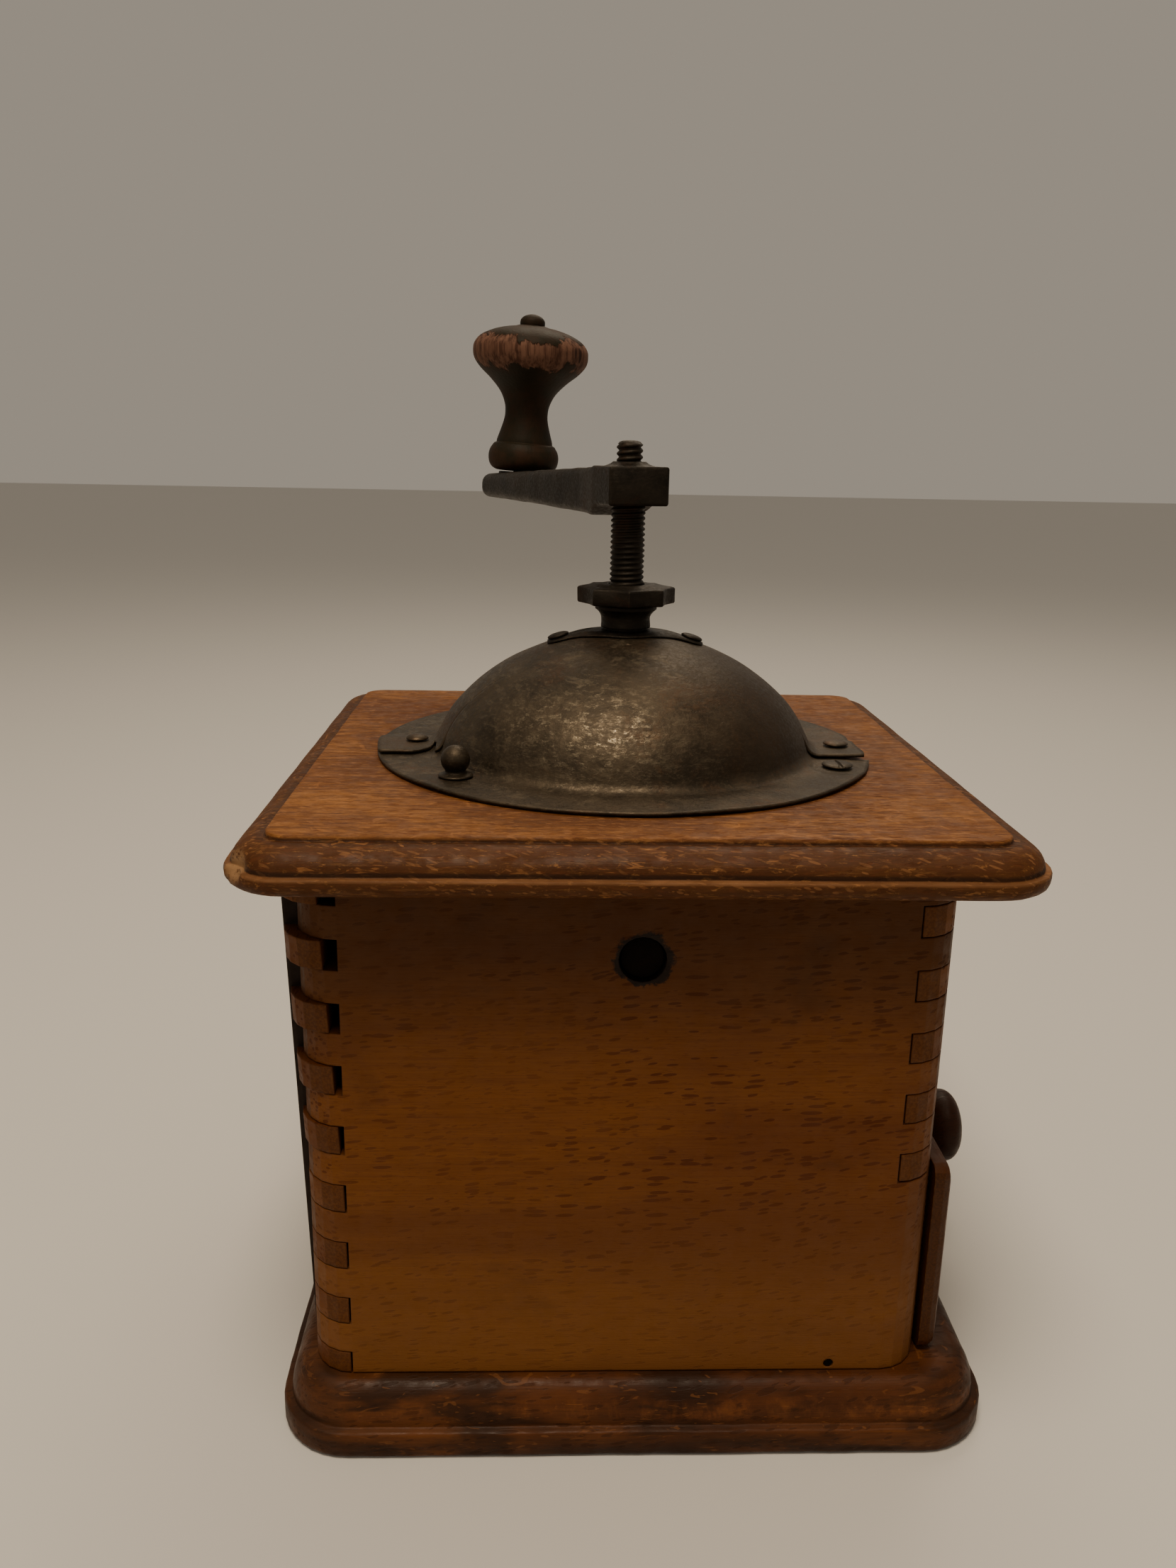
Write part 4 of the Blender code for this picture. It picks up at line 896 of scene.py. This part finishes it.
def make_rivets():
    """Flat rivet heads on the strap, square to the dome."""
    seat, step = 0.75, 0.05
    height = dome_height(STRAP_RIVET_X)
    slope = math.atan2(height - dome_height(STRAP_RIVET_X + step), step)
    profile = [(1.1, -1.8), (1.1, seat)] + smooth_line([(2.4, seat), (2.55, seat + 0.2), (2.4, seat + 0.5),
                                                        (1.6, seat + 0.8), (0.3, seat + 0.9)])

    def squashed(angle, radius, _z):
        return radius * 0.05 * math.cos(2 * angle) - radius * 0.05

    for side, label in ((-1, "left"), (1, "right")):
        matrix = (Matrix.Translation((side * STRAP_RIVET_X, 0, REAR_TOP + height))
                  @ Matrix.Rotation(side * slope, 4, "Y"))
        turned(f"strap_rivet_head_{label}", profile, "case", [f"strap_rivet_{label}"],
               "iron", 40, matrix=matrix, wobble=squashed)


def make_screw(name, node, seat_gap, dome, slot_angle):
    """A domed wood screw head, with a slot unless its angle is None; its place is its CAD node's."""
    low, high, matrix = mm_column(node)
    head = (high.x - low.x) / 2
    seat = high.z - seat_gap
    profile = [(1.3, low.z + 1.0), (1.3, seat)]
    profile += smooth_line([(head * 0.92, seat), (head, seat + 0.12), (head * 0.98, seat + 0.35),
                            (head * 0.75, seat + dome * 0.75), (head * 0.3, high.z - 0.05), (0.25, high.z)])
    screw = turned(name, profile, "case", [node], "screws", 40, matrix=matrix)
    if slot_angle is not None:
        wide, long = 0.38, head + 1
        blade = [[(-wide, -long, z), (wide, -long, z), (wide, long, z), (-wide, long, z)]
                 for z in (seat + dome * 0.35, high.z + 1)]
        cut(screw, placed(blade, matrix @ Matrix.Rotation(math.radians(slot_angle), 4, "Z")))


# Each screw's piece, CAD node, seat below its top, height of its dome and turn of its slot.
SCREWS = (
    ("pivot_screw_head", "door_pivot_screw", 0.9, 0.9, 4.0),
    ("catch_screw_head", "catch_screw", 1.15, 1.1, None),
    ("side_screw_head", "side_flange_screw", 0.9, 0.9, None),
    ("rear_screw_head_1", "rear_flange_screw_1", 1.2, 1.2, 35.0),
    ("rear_screw_head_2", "rear_flange_screw_2", 1.2, 1.2, -20.0),
)


def make_door_knob():
    low, high, matrix = mm_column("door_knob")
    seat = DOOR_TOP + 0.05
    ball = 3.1
    middle = high.z - ball
    line = [(1.1, low.z), (1.1, seat)]
    line += smooth_line([(3.5, seat), (3.7, seat + 0.2), (3.55, seat + 0.45), (3.0, seat + 0.65),
                         (2.4, seat + 0.9), (2.2, seat + 1.15), (2.3, middle - 2.08)])
    for i in range(1, 24):
        radius, z, _ = polar(math.radians(-42 + 130 * i / 23), ball, 0)
        line.append((radius, middle + z))
    turned("door_knob_ball", line, "door", ["door_knob"], "screws", 48, matrix=matrix)


# Collar, nut, spindle and crank.

BORE = 4.25


def make_collar():
    low, high = COLLAR_LOW.z, COLLAR_HIGH.z
    seat = high - 5.2
    outer = smooth_line([(5.75, seat), (5.8, seat + 0.3), (5.75, seat + 0.8), (5.7, seat + 1.6),
                         (5.75, seat + 2.4), (6.1, seat + 3.2), (6.7, seat + 3.9), (7.1, seat + 4.2),
                         (7.15, seat + 4.4), (7.15, high - 0.2), (6.9, high)])
    profile = [(BORE, low), (5.0, low), (5.0, seat)] + outer + [(BORE, high)]

    def wobble(angle, radius, z):
        return ripple(polar(angle, 3, z), 0.6, 0.12, 4.0) - 0.04

    turned("collar", profile, "case", ["bearing_collar"], "iron", closed=True, wobble=wobble)


def make_nut():
    low, high = NUT_LOW.z, NUT_HIGH.z
    lobes, per = 8, 18
    count = lobes * per
    outside = 11.35

    def scalloped(radius, z, soft):
        row = []
        for i in range(count):
            phase = (i % per) / per
            dip = 0.13 * soft * max(0.0, math.sin(math.pi * phase)) ** 0.9
            angle = 2 * math.pi * i / count
            reach = radius * (1 - dip) + ripple(polar(angle, 4, z), 0.5, 0.22, 6.0) - 0.1
            row.append(polar(angle, reach, z))
        return row

    rows = rings([(BORE, low)], count)
    rows += [scalloped(outside - drop, z, soft) for drop, z, soft in (
        (0.8, low, 0.9), (0.2, low + 0.12, 1.0), (0.0, low + 0.45, 1.0), (0.0, low + 2.0, 1.0),
        (0.0, high - 1.0, 1.0), (0.2, high - 0.7, 1.0), (0.8, high - 0.5, 0.95), (2.6, high - 0.45, 0.7))]
    rows += rings([(7.4, high - 0.5), (6.6, high - 0.15), (6.1, high), (BORE, high)], count)
    make_piece("star_nut", rows, "nut", ["adjusting_nut"], "iron", closed=True, smooth=30)


def thread(radius, z, end, step, pitch, depth, count=48):
    """Rows of a helical thread with rounded, worn crests, from one height up to another."""
    rows = []
    while z < end:
        row = []
        for i in range(count):
            angle = 2 * math.pi * i / count
            phase = (z / pitch - i / count) % 1.0
            groove = depth * (0.5 - 0.5 * math.cos(2 * math.pi * phase)) ** 1.3
            worn = abs(ripple(polar(angle, 2, z), 0.9, 0.12, 2.0))
            row.append(polar(angle, radius - groove - worn, z))
        rows.append(row)
        z += step
    return rows


def make_spindle():
    low, high = SPINDLE_LOW.z, SPINDLE_HIGH.z
    shoulder, tip = ARM_HIGH.z - 9.7, ARM_HIGH.z - 0.9
    thread_foot = 160.0
    rows = rings([(2.4, low), (3.2, low + 1), (3.2, 90.9), (4.6, 90.9), (4.6, 111.5), (3.9, 112.4),
                  (3.9, thread_foot)], 48)
    rows += thread(3.95, thread_foot + 0.15, shoulder, 0.15, 1.2, 0.44)
    rows += rings([(3.5, shoulder), (3.0, shoulder + 0.1), (2.9, tip)], 48)
    rows += thread(3.0, tip + 0.1, high - 0.9, 0.14, 1.4, 0.5)
    rows += rings([(2.75, high - 0.8), (2.35, high - 0.35), (1.6, high - 0.08), (0.5, high)], 48)
    make_piece("threaded_spindle", rows, "spindle_set", ["spindle"], "iron", smooth=60)


def section(reach, half, low, high, radius, steps=5):
    """Rounded section across the arm, as rows run along its +Y."""
    radius = min(radius, half * 0.8, (high - low) / 2 * 0.95)
    corners = ((half - radius, high - radius, 0), (-half + radius, high - radius, 90),
               (-half + radius, low + radius, 180), (half - radius, low + radius, 270))
    row = []
    for cx, cz, start in corners:
        for i in range(steps + 1):
            x, z, _ = polar(math.radians(start + 90 * i / steps), radius, 0)
            row.append((cx + x, reach, cz + z))
    return row


def make_arm():
    """Forged arm: a square hub with a sharp near face, a heel under its root, and a round eye."""
    top = ARM_HIGH.z - 1.0
    hub_low = top - 8.5
    length = 105.0
    eye = 12.3
    out_of_line = math.radians(14.4)

    def top_at(reach):
        return top - 3.9 * max(reach - 7, 0) / (length - 7)

    heel, eye_low = 189.5, 190.0
    keys = [(-7.6, 6.5, hub_low + 0.5, top - 0.5, 0.5), (-7.2, 7.0, hub_low, top, 0.6),
            (1.0, 7.1, hub_low, top, 0.7), (3.0, 7.15, hub_low - 0.4, top, 0.7),
            (6.0, 7.2, hub_low - 1.5, top, 0.8), (9.0, 6.9, heel + 0.2, top_at(9), 1.1),
            (12.0, 6.55, heel, top_at(12), 1.4),
            (20.0, 6.2, heel + 0.15, top_at(20), 1.9), (55.0, 8.7, eye_low, top_at(55), 2.4),
            (86.0, 11.0, eye_low, top_at(86), 2.8), (104.1, 12.27, eye_low, top_at(104.1), 2.8)]
    stations = []
    for first, second in zip(keys, keys[1:]):
        steps = max(1, int((second[0] - first[0]) / 1.2))
        for i in range(steps):
            share = i / steps
            stations.append(tuple(a + (b - a) * share for a, b in zip(first, second)))
    for i in range(28):
        angle = math.radians(-4 + 90 * i / 27)
        reach = length + eye * math.sin(angle)
        ease = 2.4 * smoothstep((math.degrees(angle) - 40) / 46)
        stations.append((reach, eye * math.cos(angle), eye_low + ease, top_at(reach) - ease, 2.8))
    rows = []
    for station in stations:
        row = section(*station)
        centre = Vector((0, station[0], (station[2] + station[3]) / 2))
        beaten = []
        for point in row:
            here = Vector(point)
            amount = (0.14 + ripple(point, 0.12, 0.22, 4.0)) if station[0] > 7 else 0.05
            towards = (centre - here).normalized()
            beaten.append(tuple(here + towards * max(0.0, amount)))
        rows.append(beaten)
    rows = placed(rows, Matrix.Rotation(out_of_line, 4, "Z"))
    make_piece("crank", rows, "spindle_set", ["crank_arm"], "iron", smooth=38)
    cone = smooth_line([(6.4, top - 0.15), (5.4, top + 0.12), (4.4, top + 0.5), (3.7, top + 1.0)], 3)
    turned("hub_boss", [(3.0, top - 0.4)] + cone + [(3.0, top + 0.98)], "spindle_set", [], "iron", 48,
           closed=True)


def make_grip():
    lean = math.atan2(GRIP_AXIS.x, GRIP_AXIS.z)
    matrix = Matrix.Translation(GRIP_POINT) @ Matrix.Rotation(lean, 4, "Y")
    bore = 3.1
    top = 42.0
    outer = smooth_line([(5.0, 0.05), (7.6, 0.15), (8.6, 0.45), (9.6, 1.1), (10.35, 2.4), (10.62, 4.4),
                         (10.25, 6.2), (9.4, 7.6), (9.15, 7.95), (9.15, 7.95), (8.45, 8.3), (8.45, 8.3),
                         (8.3, 9.3), (7.5, 11.8), (6.65, 14.8), (6.4, 17.0), (6.75, 19.7), (8.3, 23.0),
                         (11.3, 26.3), (14.7, 29.2), (16.7, 31.7), (17.25, 34.0), (16.9, 36.1), (15.2, 38.2),
                         (12.0, 39.9), (8.4, 41.0), (5.6, 41.5), (4.2, 41.9)])
    profile = [(bore, 0.05)] + outer + [(bore, top)]

    def wobble(angle, radius, z):
        flat = -0.35 * max(0.0, math.cos(angle - 4.3)) * bell(z - 34, 5)
        dent = -max(0.0, ripple(polar(angle, 9, z), 0.28, 1.0, 3.0) - 0.3) * 0.8
        return (flat + dent * smoothstep((z - 28) / 6)) if radius > bore + 0.5 else 0.0

    turned("turned_grip", profile, "grip", ["grip"], "grip", 96, closed=True,
           matrix=matrix, wobble=wobble, smooth=50)
    turned("crank_eye_seat", [(2.9, -2.0), (6.9, -2.0), (7.2, -1.7), (7.2, -0.5), (7.0, -0.3), (2.9, -0.3)],
           "spindle_set", [], "iron", 64, closed=True, matrix=matrix)
    head = top - 0.1
    pin = [(2.2, -8.0), (2.8, -7.6), (2.8, head)]
    pin += smooth_line([(3.6, head), (3.7, head + 0.7), (3.5, head + 1.7), (2.6, head + 2.6),
                        (1.2, head + 3.15), (0.2, head + 3.25)])
    turned("grip_rivet", pin, "spindle_set", ["grip_pin"], "grip", 48, matrix=matrix)


# Drawer knob.

def make_drawer_knob():
    line = smooth_line([(5.3, 0.0), (5.35, 0.5), (4.9, 1.5), (4.2, 3.4), (4.0, 6.4), (4.6, 9.4), (6.2, 11.9),
                        (8.1, 14.2), (9.15, 17.0), (8.8, 19.2), (7.1, 20.85), (4.2, 21.75), (0.4, 22.0)])
    profile = [(0.3, 11.9), (1.9, 11.6), (1.9, 0.0)] + line
    middle = (KNOB_LOW + KNOB_HIGH) / 2
    matrix = Matrix.Translation((KNOB_LOW.x, middle.y, middle.z)) @ Matrix.Rotation(math.radians(90), 4, "Y")
    turned("knob", profile, "drawer", ["drawer_knob"], "knob", 72, matrix=matrix, smooth=50)


# Carried-over CAD nodes.

def dress_nodes():
    """Every CAD node that stays gets a detailed finish."""
    plan = {
        "side": ["side_board_near", "side_board_far"],
        "end": ["back_board", "front_board"],
        "drawer": ["drawer_front"],
        "inner_x": ["drawer_side_near", "drawer_side_far"],
        "inner_y": ["drawer_back", "drawer_bottom", "mill_crossboard"],
        "hopper": ["bean_funnel"],
        "iron": ["outer_burr", "inner_burr", "spindle_bridge"],
        "sooty": ["case_nail_near", "case_nail_far", "side_screw_near", "side_screw_far"],
        "screws": ["cone_lock_nut", "knob_screw", "burr_screw_1", "burr_screw_2", "bridge_screw_1",
                   "bridge_screw_2"] + [f"base_screw_{i + 1}" for i in range(4)],
    }
    for finish, names in plan.items():
        for name in names:
            mesh = frame["nodes"][name].data
            mesh.materials.clear()
            mesh.materials.append(FINISH[finish])


# Stage.

def make_stage():
    floor_mesh = bpy.data.meshes.new("floor")
    reach, level = 6.0, -0.0002
    corners = [(x * reach, y * reach, level) for x, y in ((-1, -1), (1, -1), (1, 1), (-1, 1))]
    floor_mesh.from_pydata(corners, [], [(0, 1, 2, 3)])
    floor = add_object("floor", floor_mesh)
    pale = bpy.data.materials.new("pale_floor")
    pale.use_nodes = True
    shader = pale.node_tree.nodes["Principled BSDF"]
    shader.inputs["Base Color"].default_value = (0.62, 0.60, 0.57, 1.0)
    shader.inputs["Roughness"].default_value = 0.75
    floor_mesh.materials.append(pale)

    world = bpy.data.worlds.new("studio")
    world.use_nodes = True
    inputs = world.node_tree.nodes["Background"].inputs
    inputs["Color"].default_value = (0.80, 0.70, 0.57, 1.0)
    inputs["Strength"].default_value = 0.40
    bpy.context.scene.world = world


def soft_light(name, place, size, power, colour=(1.0, 0.83, 0.62)):
    data = bpy.data.lights.new(name, "AREA")
    data.shape = "DISK"
    data.size = size
    data.energy = power
    data.color = colour
    lamp = add_object(name, data)
    lamp.location = place
    lamp.rotation_mode = "QUATERNION"
    lamp.rotation_quaternion = (Vector((0, 0, 0.1)) - Vector(place)).to_track_quat("-Z", "Y")


def make_camera():
    yaw, pitch, roll = math.radians(2.079), math.radians(15.278), math.radians(-1.093)
    ahead = Vector((math.sin(yaw) * math.cos(pitch), math.cos(yaw) * math.cos(pitch), -math.sin(pitch)))
    level = Vector((math.cos(yaw), -math.sin(yaw), 0))
    down = ahead.cross(level)
    right = math.cos(roll) * level + math.sin(roll) * down
    up = -(math.cos(roll) * down - math.sin(roll) * level)
    data = bpy.data.cameras.new("camera")
    data.lens = 28.0
    data.sensor_width = 36.0
    data.clip_start = 0.01
    camera = add_object("camera", data)
    turn = Matrix((right, up, -ahead)).transposed().to_4x4()
    camera.matrix_world = Matrix.Translation((-0.01825, -0.28268, 0.20414)) @ turn
    bpy.context.scene.camera = camera


# Blender's own starting light, camera and cube go, if they are there.
for leftover in [thing for thing in bpy.data.objects if thing.type in ("LIGHT", "CAMERA")
                 or thing.name == "Cube"]:
    bpy.data.objects.remove(leftover, do_unlink=True)

make_stage()
make_camera()
soft_light("key", (-0.10, -0.33, 1.05), 0.40, 8.0)
soft_light("fill", (-0.55, -0.9, 0.5), 0.9, 1.0)
soft_light("rim", (0.15, 0.7, 1.0), 0.7, 4.0)

make_lid()
make_base()
make_rear()
make_door()
make_strap()
make_rivets()
for screw_row in SCREWS:
    make_screw(*screw_row)
make_door_knob()
make_collar()
make_nut()
make_spindle()
make_arm()
make_grip()
make_drawer_knob()
dress_nodes()
